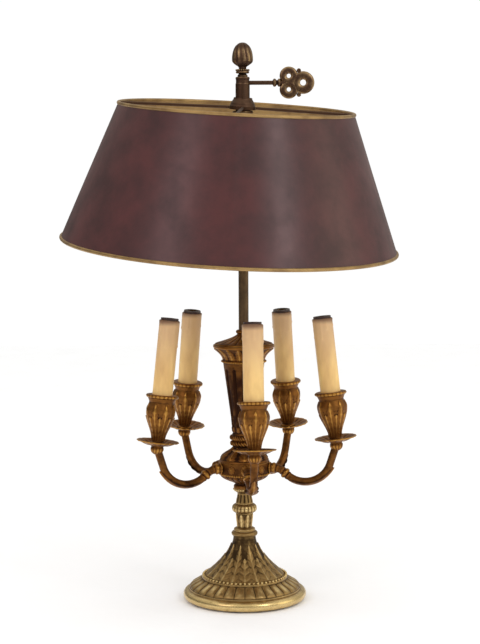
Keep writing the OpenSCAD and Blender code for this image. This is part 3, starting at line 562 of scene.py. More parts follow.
def finishes():
    """Every finish of the lamp, made once from the colours in the scene's settings."""
    if MADE:
        return MADE
    tone = bpy.context.scene.lamp_tones
    MADE.update({
        "gilt": chased_brass("chased_gilt_brass", tone.gilt, tone.gilt_hollow, tone.gilt_rubbed, 0.36),
        "dark": chased_brass("chased_brown_brass", tone.bronze, tone.bronze_hollow, tone.bronze_rubbed, 0.4),
        "toned": chased_brass("toned_brass_fittings", tone.fitting, tone.fitting_hollow,
                              tone.fitting_rubbed, 0.42),
        "tube": drawn_brass("drawn_brass_tube", tone.tube, tone.tube_stain, 0.34),
        "resin": cast_resin("cast_ivory_resin", tone.candle, tone.candle_shade, tone.candle_top_shade,
                            tone.candle_rim),
        "paint": brushed_paint("oxblood_paint_on_tole", tone.paint, tone.paint_deep, 0.36),
        "leaf": gilt_paint("bronze_powder_gilding", tone.lining, tone.lining_thin, 0.42)})
    for key, name, body, patch, grain, roughness, metallic in (
            # Pressed phenolic resin: brown-black and half matt
            ("phenolic", "pressed_phenolic", "#3E2219", "#2E1913", 4 * MM, 0.45, 0),
            # Zinc-plated steel sheet: pale grey with faint spangle
            ("steel", "zinc_plated_steel", "#8D8F90", "#74777A", 6 * MM, 0.38, 1),
            # Grey iron as it left the sand mould
            ("iron", "sand_cast_iron", "#4A4846", "#33312F", 2 * MM, 0.7, 0.9),
            # Pressed wool felt, dark green
            ("felt", "pressed_wool_felt", "#33402F", "#232D22", 0.9 * MM, 0.95, 0),
            # Brown cotton braid over a rubber lead
            ("cover", "cotton_covered_lead", "#5B4632", "#46362A", 0.8 * MM, 0.85, 0)):
        MADE[key] = plain_finish(name, linear(body), linear(patch), grain, roughness, metallic)
    return MADE


# ---------------------------------------------------------------- settings

def colour_prop(name, description, code):
    """A colour to set, from its sRGB hex value."""
    return FloatVectorProperty(name=name, description=description, subtype="COLOR", min=0, max=1,
                               default=linear(code))


def length_prop(name, description, value):
    """A length to set."""
    return FloatProperty(name=name, description=description, unit="LENGTH", default=value)


def angle_prop(name, description, turn):
    """An angle to set, from its degrees."""
    return FloatProperty(name=name, description=description, subtype="ANGLE", default=radians(turn))


class LampTones(bpy.types.PropertyGroup):
    """Colours of the lamp's finishes."""
    gilt: colour_prop("Gilt brass", "Body colour of the foot and stem", "#96794C")
    gilt_hollow: colour_prop("Gilt brass, hollows", "Old lacquer in the hollows", "#40301E")
    gilt_rubbed: colour_prop("Gilt brass, rubbed", "Edges rubbed bright", "#D9BE85")
    bronze: colour_prop("Brown brass", "Body colour of arms, cups and column", "#7E5226")
    bronze_hollow: colour_prop("Brown brass, hollows", "Brown patina in the hollows", "#382116")
    bronze_rubbed: colour_prop("Brown brass, rubbed", "Edges rubbed bright", "#B5843F")
    fitting: colour_prop("Fittings", "Body colour of finial, key and carrier", "#584234")
    fitting_hollow: colour_prop("Fittings, hollows", "Patina in their hollows", "#2B2019")
    fitting_rubbed: colour_prop("Fittings, rubbed", "Their edges rubbed bright", "#A68B66")
    tube: colour_prop("Tube", "Drawn tube of the pole", "#6B563E")
    tube_stain: colour_prop("Tube, stains", "Stains on the tube", "#4B3C2F")
    candle: colour_prop("Candle", "Ivory resin of the candle covers", "#E8C27C")
    candle_shade: colour_prop("Candle, aged", "Yellowed places on the candles", "#C0935A")
    # Painted shade: the colour the candles' tops take where the lamp's shade shadows them
    candle_top_shade: colour_prop("Candle, top", "Smoke and dust on the upper part", "#C8A37C")
    candle_rim: colour_prop("Candle, rim", "Browned by the lamp's heat", "#5E3A26")
    paint: colour_prop("Shade paint", "Oxblood paint on the shade", "#4A2021")
    paint_deep: colour_prop("Shade paint, deep", "Darker clouds in the paint", "#361517")
    lining: colour_prop("Lining", "Gilding inside the shade and on its rims", "#A98A5A")
    lining_thin: colour_prop("Lining, thin", "Thin places in the gilding", "#7A5F3F")


class LampFoot(bpy.types.PropertyGroup):
    """Sizes of the foot and the stem."""
    radius: length_prop("Radius", "Radius over the rim", half_width("foot"))
    rim: length_prop("Rim", "Height of the round rim", 12 * MM)
    step_radius: length_prop("Step", "Radius where the trumpet starts", 49 * MM)
    cushion: length_prop("Cushion", "Height of the cushion moulding", 16 * MM)
    neck_radius: length_prop("Neck", "Radius of the neck", 13.5 * MM)
    wall: length_prop("Wall", "Wall of the hollow casting", 4 * MM)
    gadroons: IntProperty(name="Gadroons", description="Lobes round the cushion", default=32, min=8)
    leaves: IntProperty(name="Leaves", description="Leaves on the trumpet", default=10, min=3)


class LampArms(bpy.types.PropertyGroup):
    """Sizes of the candle arms."""
    tube_radius: length_prop("Tube", "Radius of the arm's tube", 5 * MM)
    reach: length_prop("Reach", "From the lamp's axis to the middle of the boss", 113 * MM)
    bow_radius: length_prop("Bow", "Radius of the large bow", 33 * MM)
    bow_reach: length_prop("Bow's reach", "From the lamp's axis to the bow's outer side", 107 * MM)
    riser: angle_prop("Riser", "Outward lean of the straight riser under the boss", 18)
    lean: angle_prop("Lean", "Inward lean of pan, cup and candle", 6.5)
    boss_rise: length_prop("Boss", "Rise from the boss to the drip pan", 4 * MM)
    counter_radius: length_prop("Counter bow", "Radius of the small bow at the hub", 20 * MM)
    leaf_width: length_prop("Leaf", "Width of the large leaf", 16 * MM)
    turn: angle_prop("Turn", "Angle on the counter bow where the two bows meet", 225)


class LampCandles(bpy.types.PropertyGroup):
    """Sizes of the drip pans, the cups and the candle covers."""
    pan_radius: length_prop("Pan", "Radius of the drip pan", 25 * MM)
    pan_thick: length_prop("Pan's thickness", "Thickness of the drip pan", 1.4 * MM)
    cup_height: length_prop("Cup", "Height of the cup", 59 * MM)
    rim_radius: length_prop("Rim", "Radius of the cup's rim", 19 * MM)
    belly_radius: length_prop("Belly", "Radius of the cup's belly", 17.5 * MM)
    belly_height: length_prop("Belly's height", "Height of the belly above the cup's foot", 41 * MM)
    floor_height: length_prop("Floor", "Height of the cup's floor", 37 * MM)
    cover_radius: length_prop("Cover", "Radius of the candle cover", 12 * MM)
    cover_length: length_prop("Cover's length", "Length of the candle cover", 110 * MM)
    cover_wall: length_prop("Cover's wall", "Wall of the candle cover", 1.2 * MM)
    socket_stand: length_prop("Socket", "How far the socket shows above the cover", 3 * MM)


class LampShade(bpy.types.PropertyGroup):
    """Sizes of the shade."""
    sheet: length_prop("Sheet", "Thickness of the sheet", 0.8 * MM)
    wire: length_prop("Wire", "Radius of the wired edges", 2.18 * MM)
    seam: length_prop("Seam", "Width of the lapped seam at the back", 9 * MM)


class LampStage(bpy.types.PropertyGroup):
    """Camera and light."""
    distance: length_prop("Distance", "From the camera to the lamp's axis", 1.936)
    height: length_prop("Height", "Height of the camera", 0.512)
    aside: length_prop("Aside", "Camera's place to the right of the axis", -0.0036)
    pitch: angle_prop("Pitch", "How far the camera looks down", 5.10)
    roll: angle_prop("Roll", "Turn of the camera about its view", 0.26)
    lens: FloatProperty(name="Lens", description="Focal length in mm on a 36 mm frame", default=90.1)
    floor: colour_prop("Floor", "Pale floor", "#FFFFFF")
    glow: FloatProperty(name="Glow", description="Brightness of the white surroundings", default=1.02)
    room: FloatProperty(name="Room", description="Brightness of the room that the metal mirrors", default=0.3)


# ---------------------------------------------------------------- operators

class LAMP_OT_hidden_parts(bpy.types.Operator):
    """Finish the parts inside the lamp and the plain ones that stay as they are"""
    bl_idname = "lamp.hidden_parts"
    bl_label = "Inner parts"

    def execute(self, context):
        plain = {"felt_pad": "felt", "bottom_plate": "steel", "foot_weight": "iron", "rod_nut": "gilt",
                 "rod_washer": "steel", "cord_bushing": "phenolic", "tie_rod": "tube", "main_lead": "cover",
                 "arm_nuts": "tube", "arm_leads": "cover", "nipples": "tube", "nipple_nuts": "tube"}
        plain.update({f"socket_{k}": "phenolic" for k in ARMS})
        for node, finish in plain.items():
            finish_node(node, finish)
        return {"FINISHED"}


class LAMP_OT_foot(bpy.types.Operator):
    """Build the chased foot: rim, gadrooned cushion, beads, leafed trumpet, neck ring and hollow underside"""
    bl_idname = "lamp.foot"
    bl_label = "Foot"

    def execute(self, context):
        p = context.scene.lamp_foot
        lift, top = low("foot"), high("foot")
        rim_r = p.rim / 2
        rim_top = lift + p.rim
        cushion_top = rim_top + p.cushion
        edge, shoulder = p.radius - 7 * MM, p.step_radius + 3 * MM
        ring_r, ring, flat = 3 * MM, p.neck_radius + 2.5 * MM, 2 * MM
        neck_z = top - 2 * ring_r
        recess, plate = half_width("bottom_plate"), high("bottom_plate")
        ledge = (recess - 6 * MM, plate)
        outline = chain(
            ledge, (recess, plate), (recess + 0.4 * MM, lift),
            arc((p.radius - rim_r, lift + rim_r), rim_r, -90, 90),
            (edge, rim_top), (edge, rim_top + flat),
            ogee((edge - MM, rim_top + flat), (shoulder, cushion_top - flat)), (shoulder, cushion_top),
            trumpet((p.step_radius, cushion_top), (p.neck_radius, neck_z)),
            arc((ring - ring_r, top - ring_r), ring_r, -90, 90), (0, top))
        root = cushion_top + 1.2 * MM
        body = turned(outline, 10 * p.gadroons, [
            gadroons(p.gadroons, rim_top + 2.4 * MM, cushion_top - 2.4 * MM, 1.3 * MM),
            layered(leaves(p.leaves, root, top - 30 * MM, 1.8 * MM, 4),
                    leaves(p.leaves, root, top - 15 * MM, 1.3 * MM, 6, shift=0.5)),
            patina(cushion_top + MM, top, -0.75), patina(lift, rim_top + MM, 0.8)])
        pearls = beads(60, p.step_radius + 1.4 * MM, cushion_top + 0.9 * MM, 1.6 * MM)
        seat = high("rod_nut") + 2 * MM
        roof = trumpet((p.step_radius - p.wall, cushion_top - p.wall), (p.neck_radius - p.wall, neck_z))
        hollow = turned(chain((0, seat), roof[roof[:, 1] < seat][::-1], (edge - p.wall, rim_top - 3 * MM),
                              ledge), 10 * p.gadroons, step=4 * MM)
        add_piece("foot_casting", [body, hollow, pearls], "stand", "gilt", "gilt_brass", "foot")
        return {"FINISHED"}


class LAMP_OT_stem(bpy.types.Operator):
    """Build the lower stem with its knop"""
    bl_idname = "lamp.stem"
    bl_label = "Lower stem"

    def execute(self, context):
        z0, z1, knop = low("lower_stem"), high("lower_stem"), half_width("lower_stem")
        shaft, collar, knop_z, knop_r = 10 * MM, 3 * MM, z0 + 28 * MM, 5.5 * MM
        root, under, over = z0 + 5 * MM, knop_z - knop_r, knop_z + knop_r
        outline = chain(
            (0, z0), (JOINT, z0), (JOINT, z0 + collar),
            ogee((shaft - MM, root), (shaft + 0.5 * MM, under)),
            arc((knop - knop_r, knop_z), knop_r, -90, 90),
            ogee((shaft + 0.5 * MM, over), (shaft - 1.5 * MM, z1 - 2 * collar)),
            (JOINT, z1 - collar), (JOINT, z1), (0, z1))
        body = turned(outline, 240, [
            leaves(8, root, under - MM, 0.9 * MM, 3), gadroons(20, under, over, 0.9 * MM),
            flutes(12, over + 1.5 * MM, z1 - 7 * MM, 1.5 * MM, 0.8 * MM)])
        pearls = beads(26, JOINT - 0.3 * MM, z1 - collar / 2, 1.2 * MM)
        add_piece("stem_turning", [body, pearls], "stand", "gilt", "gilt_brass", "lower_stem")
        return {"FINISHED"}


class LAMP_OT_hub(bpy.types.Operator):
    """Build the hub's gadrooned bowl and leafed lid"""
    bl_idname = "lamp.hub"
    bl_label = "Hub"

    def execute(self, context):
        z0, z1, z2 = low("hub_bowl"), high("hub_bowl"), high("hub_lid")
        radius, belt = half_width("hub_bowl"), z1 - 16 * MM
        outline = chain(
            (0, z0), (JOINT, z0), (JOINT, z0 + 3 * MM),
            ogee((JOINT - 2 * MM, z0 + 5 * MM), (radius - 2 * MM, belt)),
            (radius, belt), (radius, z1), (0, z1))
        bowl = turned(outline, 240, [
            gadroons(24, z0 + 6 * MM, belt - 0.3 * MM, 1.2 * MM), patina(z0, z1, -0.5)])
        pearls = beads(64, radius - 0.2 * MM, belt + 1.6 * MM, 1.25 * MM)
        # The rosettes sit on the belt, half way between the arms
        upright = laid(radius - 0.1 * MM, (z1 + belt) / 2 + 0.8 * MM)
        roses = [moved(rosette(5.2 * MM), upright, at_azimuth(arm_azimuth(k) + pi / len(ARMS))) for k in ARMS]
        add_piece("hub_bowl_casting", [bowl, pearls, *roses], "stand", "dark", "dark_brass", "hub_bowl")
        root, neck, ring = z1 + 3 * MM, z2 - 8 * MM, z2 - 4 * MM
        lid = chain(
            (0, z1), (radius - MM, z1), (radius - MM, z1 + 2 * MM),
            ogee((radius - 2 * MM, root), (JOINT, neck)),
            arc((JOINT + 1.5 * MM, ring), 2.5 * MM, -90, 90), (JOINT + MM, z2), (0, z2))
        body = turned(lid, 280, [
            leaves(10, root, neck, 1.3 * MM, 4), rope(28, ring - 2.4 * MM, ring + 2.4 * MM, 0.4 * MM),
            patina(z1, z2, -0.5)])
        add_piece("hub_lid_casting", [body], "stand", "dark", "dark_brass", "hub_lid")
        return {"FINISHED"}


def rosette(radius, petals=8):
    """A small flower on the XY plane, facing +Z, with a flat back: the height is a dome with petals cut by
    the cosine of half of petals times the angle, and a round bud in the middle."""
    q, a = np.linspace(0, 1, 14)[:, None], around(64)
    petal = np.abs(np.cos(petals * a / 2)) ** 0.6
    bud = np.exp(-(q / 0.2) ** 2)
    form = np.sqrt(np.maximum(1 - q ** 2, 0)) * (0.5 + 0.35 * petal * (1 - bud)) + 0.4 * bud
    grid = polar(q * radius * (0.86 + 0.14 * petal), a, 0.34 * radius * form)[::-1]
    worn = 1.6 * form[::-1] - 0.8
    return sheet(np.concatenate([0 * grid[:1], grid]), np.concatenate([worn[:1], worn]))


class LAMP_OT_column(bpy.types.Operator):
    """Build the fluted column, its leaf capital and its cap"""
    bl_idname = "lamp.column"
    bl_label = "Column"

    def execute(self, context):
        z0, z1, z2 = low("column"), high("column"), high("column_cap")
        capital, foot, top, shaft = half_width("column"), 13.5 * MM, 25 * MM, z1 - 22 * MM
        belt, bell = top + 1.5 * MM, shaft + 4 * MM
        outline = chain(
            (0, z0), (JOINT + MM, z0), arc((foot + MM, z0 + 3 * MM), 3 * MM, -80, 90),
            (foot + MM, z0 + 7 * MM), (foot, z0 + 9 * MM), (top, shaft),
            (belt, shaft + MM), (belt, shaft + 3 * MM),
            trumpet((capital, z1 - 3 * MM), (top, bell))[::-1], (capital, z1), (0, z1))
        body = turned(outline, 288, [
            flutes(12, z0 + 15 * MM, shaft - 6 * MM, 2.6 * MM, 1.5 * MM),
            leaves(12, z0 + 9.5 * MM, z0 + 30 * MM, 1.1 * MM, 3, shift=0.5),
            leaves(16, bell, z1 - 3.5 * MM, 1.2 * MM, 4),
            rope(36, z0 + 0.6 * MM, z0 + 5.6 * MM, 0.35 * MM), patina(z0, shaft, -0.75)])
        pearls = beads(52, belt, shaft + 2 * MM, 1.15 * MM)
        add_piece("column_casting", [body, pearls], "stand", "dark", "dark_brass", "column")
        collar = 9 * MM
        cap = chain(
            (0, z1), (capital - 2 * MM, z1), (capital - 2 * MM, z1 + 1.5 * MM),
            trumpet((capital - 4 * MM, z1 + 2 * MM), (collar - MM, z2 - 5 * MM)),
            arc((collar - 2 * MM, z2 - 2.5 * MM), 2.5 * MM, -90, 90), (0, z2))
        body = turned(cap, 200, [gadroons(20, z1 + 1.6 * MM, z2 - 6 * MM, 0.8 * MM)])
        add_piece("column_cap_casting", [body], "stand", "dark", "dark_brass", "column_cap")
        return {"FINISHED"}


class LAMP_OT_pole(bpy.types.Operator):
    """Build the pole and its flame finial"""
    bl_idname = "lamp.pole"
    bl_label = "Pole and finial"

    def execute(self, context):
        z0, z1, radius = low("pole"), high("pole"), half_width("pole")
        rod = turned(chain((0, z0), (radius, z0), (radius, z1), (0, z1)), 48, step=4 * MM, width=0.3 * MM)
        add_piece("pole_tube", [rod], "stand", "tube", "brown_brass", "pole")
        top, bulb, base, bulb_z = high("finial"), half_width("finial"), 8.5 * MM, z1 + 15 * MM
        turn = pi / 2 * np.linspace(0, 1, 20)
        dome = np.stack([bulb * np.cos(turn) ** 0.8, bulb_z + (top - bulb_z) * np.sin(turn)], 1)
        dome[-1, 0] = 0
        finial = chain(
            (0, z1), (base - 1.5 * MM, z1), arc((base - 1.5 * MM, z1 + 1.5 * MM), 1.5 * MM, -90, 90),
            ogee((base - 4 * MM, z1 + 6 * MM), (bulb, bulb_z)), dome)
        body = turned(finial, 120, [gadroons(12, z1 + 8.5 * MM, top - 3 * MM, 0.9 * MM, twist=0.45)],
                      step=0.5 * MM)
        # Drawn in, so that the lobes reach the bulb's radius and not past it
        slim = moved(body, lambda p: p * (0.955, 0.955, 1.0))
        pearls = beads(18, base - 0.9 * MM, z1 + 4 * MM, 1.0 * MM)
        add_piece("finial_casting", [slim, pearls], "stand", "toned", "gilt_brass", "finial")
        return {"FINISHED"}


def arm_line(p):
    """Line of an arm as (radius, height): straight out of the hub, down the counter bow, round the large
    bow and up the leaning riser into the boss, at even steps. Also the places of the two knots, the large
    bow's centre and the boss's height."""
    turn, entry_z, root = p.turn, middle("arm_nuts").z, half_width("tie_rod") + 13 * MM
    c1_r = p.bow_reach - p.bow_radius
    c2_r = c1_r + (p.bow_radius + p.counter_radius) * cos(turn)
    c2_z = entry_z - p.counter_radius
    c1_z = c2_z - (p.bow_radius + p.counter_radius) * sin(turn)
    meet = (c2_r + p.counter_radius * cos(turn - pi), c2_z + p.counter_radius * sin(turn - pi))
    riser_r, riser_z = c1_r + p.bow_radius * cos(p.riser), c1_z - p.bow_radius * sin(p.riser)
    boss_z = riser_z + (p.reach - riser_r) / tan(p.riser)
    line = chain(
        (root, entry_z), (c2_r, entry_z),
        arc((c2_r, c2_z), p.counter_radius, 90, degrees(turn) - 180, 24),
        arc((c1_r, c1_z), p.bow_radius, degrees(turn), 360 - degrees(p.riser), 60), (p.reach, boss_z))
    line = walked(line, int(lengths_along(line)[-1] / (0.8 * MM)))
    return line, np.array([(c2_r, entry_z), meet]), (c1_r, c1_z), boss_z


def arm_leaf(centre, bow, start, stop, width, rise, curl, thick):
    """A thick leaf laid round a bow: u runs along it from start to stop degrees and the blade follows a
    circle of the bow's radius plus rise, lifting by curl towards the tip. Across it, the blade is
    width times cos w, and its two faces are its thickness times sin w, with the carved relief on top."""
    u, w, lobes = np.linspace(0, 1, 46)[:, None], around(40), 6
    half = width / 2 * np.minimum(1, 0.5 + 2.2 * u) * np.maximum(1 - u ** 4, 0.004) ** 0.55
    half = half * (1 - 0.17 * np.abs(np.cos(pi * lobes * u)) ** 3)
    side, face = np.cos(w), np.sin(w)
    form = leaf_form(side, 0.15 + 0.6 * u, lobes)
    over = np.where(face >= 0, 0.35 + form, -0.4) * thick * np.abs(face) ** 0.5
    droop = -0.18 * width * side ** 2 * (1 - 0.5 * u)
    a = np.radians(start + (stop - start) * u)
    out = bow + rise + curl * u ** 5 + droop + over
    grid = np.stack([centre[0] + out * np.cos(a), half * side, centre[1] + out * np.sin(a)], -1)
    wear = np.where(face >= 0, 1.7 * form - 0.7, -0.4)
    ends = grid[[0, -1]].mean(1, keepdims=True).repeat(w.size, 1)
    return sheet(np.concatenate([ends[:1], grid, ends[1:]]), np.concatenate([wear[:1], wear, wear[-1:]]))


class LAMP_OT_arms(bpy.types.Operator):
    """Build the five scrolled arms with their knots, leaves, root collars and bosses"""
    bl_idname = "lamp.arms"
    bl_label = "Candle arms"

    def execute(self, context):
        p = context.scene.lamp_arms
        line, knots, bow, boss_z = arm_line(p)
        near = np.linalg.norm(line[:, None, :] - knots[None], axis=2).min(1)
        knob = np.exp(-(near / (2.3 * MM)) ** 4)
        fillet = np.exp(-((near - 4.6 * MM) / (0.9 * MM)) ** 2)
        groove = np.exp(-((near - 3.2 * MM) / (0.7 * MM)) ** 2)
        bar = tube(line, p.tube_radius * (0.93 + 0.38 * knob + 0.14 * fillet),
                   1.1 * knob + 0.5 * fillet - 0.35 - 0.5 * groove, 28)
        leaf = arm_leaf(bow, p.bow_radius + p.tube_radius, 240, 338, p.leaf_width,
                        rise=-1.6 * MM, curl=1.7 * MM, thick=1.3 * MM)
        pan_z = boss_z + p.boss_rise
        boss_r = 7.5 * MM
        boss = turned(chain((0, boss_z - boss_r), (3.5 * MM, boss_z - 7 * MM),
                            arc((0, boss_z), boss_r, -62, 20), (7 * MM, pan_z - 1.2 * MM),
                            (8.6 * MM, pan_z - 0.2 * MM), (0, pan_z - 0.1 * MM)),
                      reliefs=[gadroons(12, boss_z - 6.5 * MM, boss_z + 1.5 * MM, 0.5 * MM)])
        flange, deep = 7 * MM, 5 * MM
        collar = turned(chain((0, 0), (flange, 0), (flange, 1.4 * MM), (5.6 * MM, 2.2 * MM),
                              (6.2 * MM, 3.4 * MM), (5.2 * MM, deep), (0, deep)), 112,
                        [gadroons(14, 0.2 * MM, 1.5 * MM, 0.3 * MM)])
        root = moved(collar, laid(half_width("hub_bowl") + 0.2 * MM, middle("arm_nuts").z))
        for k in ARMS:
            place = at_azimuth(arm_azimuth(k))
            parts = [moved(piece, place) for piece in (bar, leaf, root)] + [moved(boss, on_candle(k))]
            add_piece(f"arm_casting_{k}", parts, "stand", "dark", "dark_brass", f"arm_{k}")
        return {"FINISHED"}


class LAMP_OT_cups(bpy.types.Operator):
    """Build the scalloped drip pans and the leafed candle cups"""
    bl_idname = "lamp.cups"
    bl_label = "Pans and cups"

    def execute(self, context):
        p, arms = context.scene.lamp_candles, context.scene.lamp_arms
        z0 = arm_line(arms)[3] + arms.boss_rise
        z1 = z0 + p.pan_thick
        z2, belly_z, floor = z1 + p.cup_height, z1 + p.belly_height, z1 + p.floor_height
        bore, neck, foot, rim_r = p.cover_radius + 0.3 * MM, p.cover_radius + 2.8 * MM, 9.5 * MM, 2 * MM
        root = z1 + 5 * MM
        outline = chain(
            (0, z1), (foot, z1), (foot, z1 + 1.5 * MM),
            ogee((foot - 2.5 * MM, z1 + 3 * MM), (p.belly_radius, belly_z)),
            ogee((p.belly_radius, belly_z), (neck, z2 - 9 * MM)),
            arc((p.rim_radius - rim_r, z2 - rim_r), rim_r, -90, 90),
            (bore, z2), (bore, floor), (0, floor))
        cup = turned(outline, 192, [
            layered(leaves(8, root, belly_z - 8 * MM, 1.2 * MM, 4),
                    leaves(8, root, belly_z + 7 * MM, 0.9 * MM, 6, shift=0.5)),
            gadroons(24, z2 - 4 * MM, z2 - 0.3 * MM, 0.35 * MM), patina(z1, z2 - 5 * MM, -0.25)],
            step=0.55 * MM)
        dish = pan(z0, z1, foot, p.pan_radius)
        for k in ARMS:
            for name, node, shape in (("drip_pan_stamping", "drip_pan", dish),
                                      ("candle_cup_casting", "candle_cup", cup)):
                add_piece(f"{name}_{k}", [moved(shape, on_candle(k))], "stand", "dark", "dark_brass",
                          f"{node}_{k}")
        return {"FINISHED"}


def pan(z0, z1, seat, radius, petals=16):
    """A shallow pressed pan: both faces rise from a flat seat to the rim along half a cosine wave, the
    petals lift them by the cosine of half of petals times the angle, and the rim draws in between two."""
    depth, across, a = 4 * MM, np.linspace(0, 1, 26)[:, None], around(128)
    petal = np.abs(np.cos(petals * a / 2)) ** 0.7
    r = across * radius
    t = np.clip((r - seat) / (radius - seat), 0, 1)
    reach = r * (1 - 0.045 * t ** 2 * (1 - petal))
    lift = depth * (1 - np.cos(pi * t)) / 2 - 0.7 * MM * np.sin(pi * t) * (1 - petal)
    under, over = (polar(reach, a, z + lift) for z in (z0, z1))
    roll = polar(reach[-1:] + 0.5 * MM, a, (z0 + z1) / 2 + lift[-1:])
    edge = 1.2 * np.exp(-((1 - across) / 0.05) ** 2) + 0.9 * (petal - 0.6) * (t > 0)
    edge = np.concatenate([edge, np.ones_like(edge[-1:]), edge[::-1] - 0.25 * np.sin(pi * t[::-1])])
    return sheet(np.concatenate([under, roll, over[::-1]]), edge)


class LAMP_OT_candles(bpy.types.Operator):
    """Build the ivory candle covers with their drips, and the sockets' screw shells"""
    bl_idname = "lamp.candles"
    bl_label = "Candles"

    def execute(self, context):
        p, arms = context.scene.lamp_candles, context.scene.lamp_arms
        z0 = arm_line(arms)[3] + arms.boss_rise + p.pan_thick + p.floor_height
        z1, radius, bore = z0 + p.cover_length, p.cover_radius, p.cover_radius - p.cover_wall
        # The shell's bore waves in and out once in each pitch of the thread
        top, deep, shell_r, pitch = z1 + p.socket_stand, 23 * MM, 5.97 * MM, 2.8 * MM
        floor, lip = top - deep, top + 0.25 * MM
        down = np.linspace(0, deep, 70)
        thread = np.stack([5.55 * MM + 0.28 * MM * np.cos(2 * pi * down / pitch), top - down - 0.2 * MM], 1)
        shell = turned(chain((0, floor - 0.6 * MM), (shell_r, floor - 0.6 * MM), (shell_r, lip),
                             (5.6 * MM, lip), thread, (0, floor - 0.2 * MM)), 40,
                       step=0.35 * MM, width=0.15 * MM)
        stud_r = 2.4 * MM
        stud = chain((0, floor), (stud_r, floor), (stud_r, floor + 1.5 * MM), (0, floor + 2.2 * MM))
        outline = chain((bore, z0), (radius, z0), (radius, z1), (bore, z1), (bore, z0))
        for k in ARMS:
            place = on_candle(k)
            skin = turned(outline, 72, [drips(k, z1, radius, bore)], step=1.2 * MM)
            add_piece(f"candle_cover_{k}", [moved(skin, place)], "stand", "resin", "ivory_sleeve",
                      f"candle_sleeve_{k}")
            add_piece(f"screw_shell_{k}", [moved(shell, place), moved(turned(stud, 24), place)], "stand",
                      "tube", "gilt_brass")
        return {"FINISHED"}


class LAMP_OT_carrier(bpy.types.Operator):
    """Build the shade carrier and its key screw"""
    bl_idname = "lamp.carrier"
    bl_label = "Carrier and key"

    def execute(self, context):
        z0, z1 = low("shade_carrier"), high("shade_carrier")
        flange, sleeve, bore = half_width("shade_carrier"), 8.5 * MM, half_width("pole") + 0.08 * MM
        rim_r, waist, bevel = 2 * MM, sleeve - 0.5 * MM, 0.8 * MM
        outline = chain(
            (bore, z0), arc((flange - rim_r, z0 + rim_r), rim_r, -90, 90), (sleeve, z0 + 2 * rim_r),
            (sleeve, z1 - 8 * MM), (waist, z1 - 7.4 * MM), (waist, z1 - 3 * MM), (sleeve, z1 - 2.4 * MM),
            (sleeve, z1 - bevel), (sleeve - bevel, z1), (bore, z1))
        inner = turned(chain((bore, z1), (bore, z0)), 64, step=6 * MM, width=0.2 * MM)
        add_piece("carrier_turning", [turned(outline, 64), inner], "carrier", "toned", "gilt_brass",
                  "shade_carrier")
        tip, z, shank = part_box("key_screw")[0].x, middle("key_screw").z, 2.5 * MM
        rod = turned(chain(
            (0, tip), (shank, tip), (shank, 18 * MM), (shank, 36 * MM),
            arc((3 * MM, 38 * MM), 2 * MM, -80, 80), (2.6 * MM, 41 * MM),
            arc((3.4 * MM, 43.5 * MM), 1.6 * MM, -80, 80), (2.4 * MM, 46 * MM), (2.2 * MM, 52 * MM),
            (0, 53 * MM)), 36)
        # The pierced bow: two lobes side by side, a larger one at the end, and two buds in the corners
        bow_x, spread, lobe, hole, thick = 55 * MM, 8 * MM, 11 * MM, 2.5 * MM, 2.25 * MM
        rings = [loop(bow_x, z + side * spread, lobe, hole, thick) for side in (-1, 1)]
        rings.append(loop(bow_x + 17 * MM, z, 13.5 * MM, 3.5 * MM, thick))
        buds = [loop(bow_x + 12 * MM, z + side * 14.3 * MM, 2.6 * MM, 0.0, 2.0 * MM) for side in (-1, 1)]
        add_piece("key_casting", [moved(rod, laid(0, z)), *rings, *buds], "key", "toned", "gilt_brass",
                  "key_screw")
        return {"FINISHED"}


def loop(x, z, outer, inner, half_thick):
    """A flattened ring in the XZ plane: round its middle circle runs an ellipse whose half axes are half
    of the outer less the inner radius and half of the thickness."""
    a, w = around(64).T, around(20)
    r = (outer + inner) / 2 + (outer - inner) / 2 * np.cos(w)
    grid = np.stack(np.broadcast_arrays(x + r * np.cos(a), half_thick * np.sin(w), z + r * np.sin(a)), -1)
    return sheet(grid, 0.55 + 0.35 * np.cos(2 * w), wrap=(True, True))


def shade_frame():
    """Radius of the shade's lower and upper rim, the height between them, and a change that stands points
    drawn on the Z axis on the shade's own axis, from the middle of the lower rim on."""
    top, axis, top_r = ring_frame("upper_rim")
    bottom, _, bottom_r = ring_frame("lower_rim")
    across = np.cross(axis, (0, 1, 0))
    across /= np.linalg.norm(across)
    back = np.cross(axis, across)

    def change(p):
        return bottom + p[:, :1] * across + p[:, 1:2] * back + p[:, 2:] * axis
    return bottom_r, top_r, float((top - bottom) @ axis), change


class LAMP_OT_shade(bpy.types.Operator):
    """Build the tole shade: painted outside, gilt inside, with wired edges, spokes and spider hub"""
    bl_idname = "lamp.shade"
    bl_label = "Shade"

    def execute(self, context):
        p = context.scene.lamp_shade
        r0, r1, height, place = shade_frame()
        half = p.sheet / 2
        faces = [shell_face(r0 + side * half, r1 + side * half, height, p.seam, side) for side in (1, -1)]
        inside = np.repeat([0, 1], faces[0].shape[0] * faces[0].shape[1])
        skin = sheet(np.concatenate(faces), wrap=(True, True), slot=inside)
        add_piece("shade_sheet", [moved(skin, place)], "shade", ("paint", "leaf"), "painted_tole",
                  "shade_shell")
        a, w = around(240).T, around(16)
        for name, node, r, z in (("lower_wire", "lower_rim", r0, 0),
                                 ("upper_wire", "upper_rim", r1, height)):
            grid = polar(r + p.wire * np.cos(w), a, z + p.wire * np.sin(w))
            wire = sheet(grid[::-1], 0.35 * np.cos(w), wrap=(True, True))
            add_piece(name, [moved(wire, place)], "shade", "leaf", "gilt_brass", node)
        for node in ("spoke_1", "spoke_2", "spoke_3", "spoke_4", "spider_hub"):
            finish_node(node, "toned")
        return {"FINISHED"}


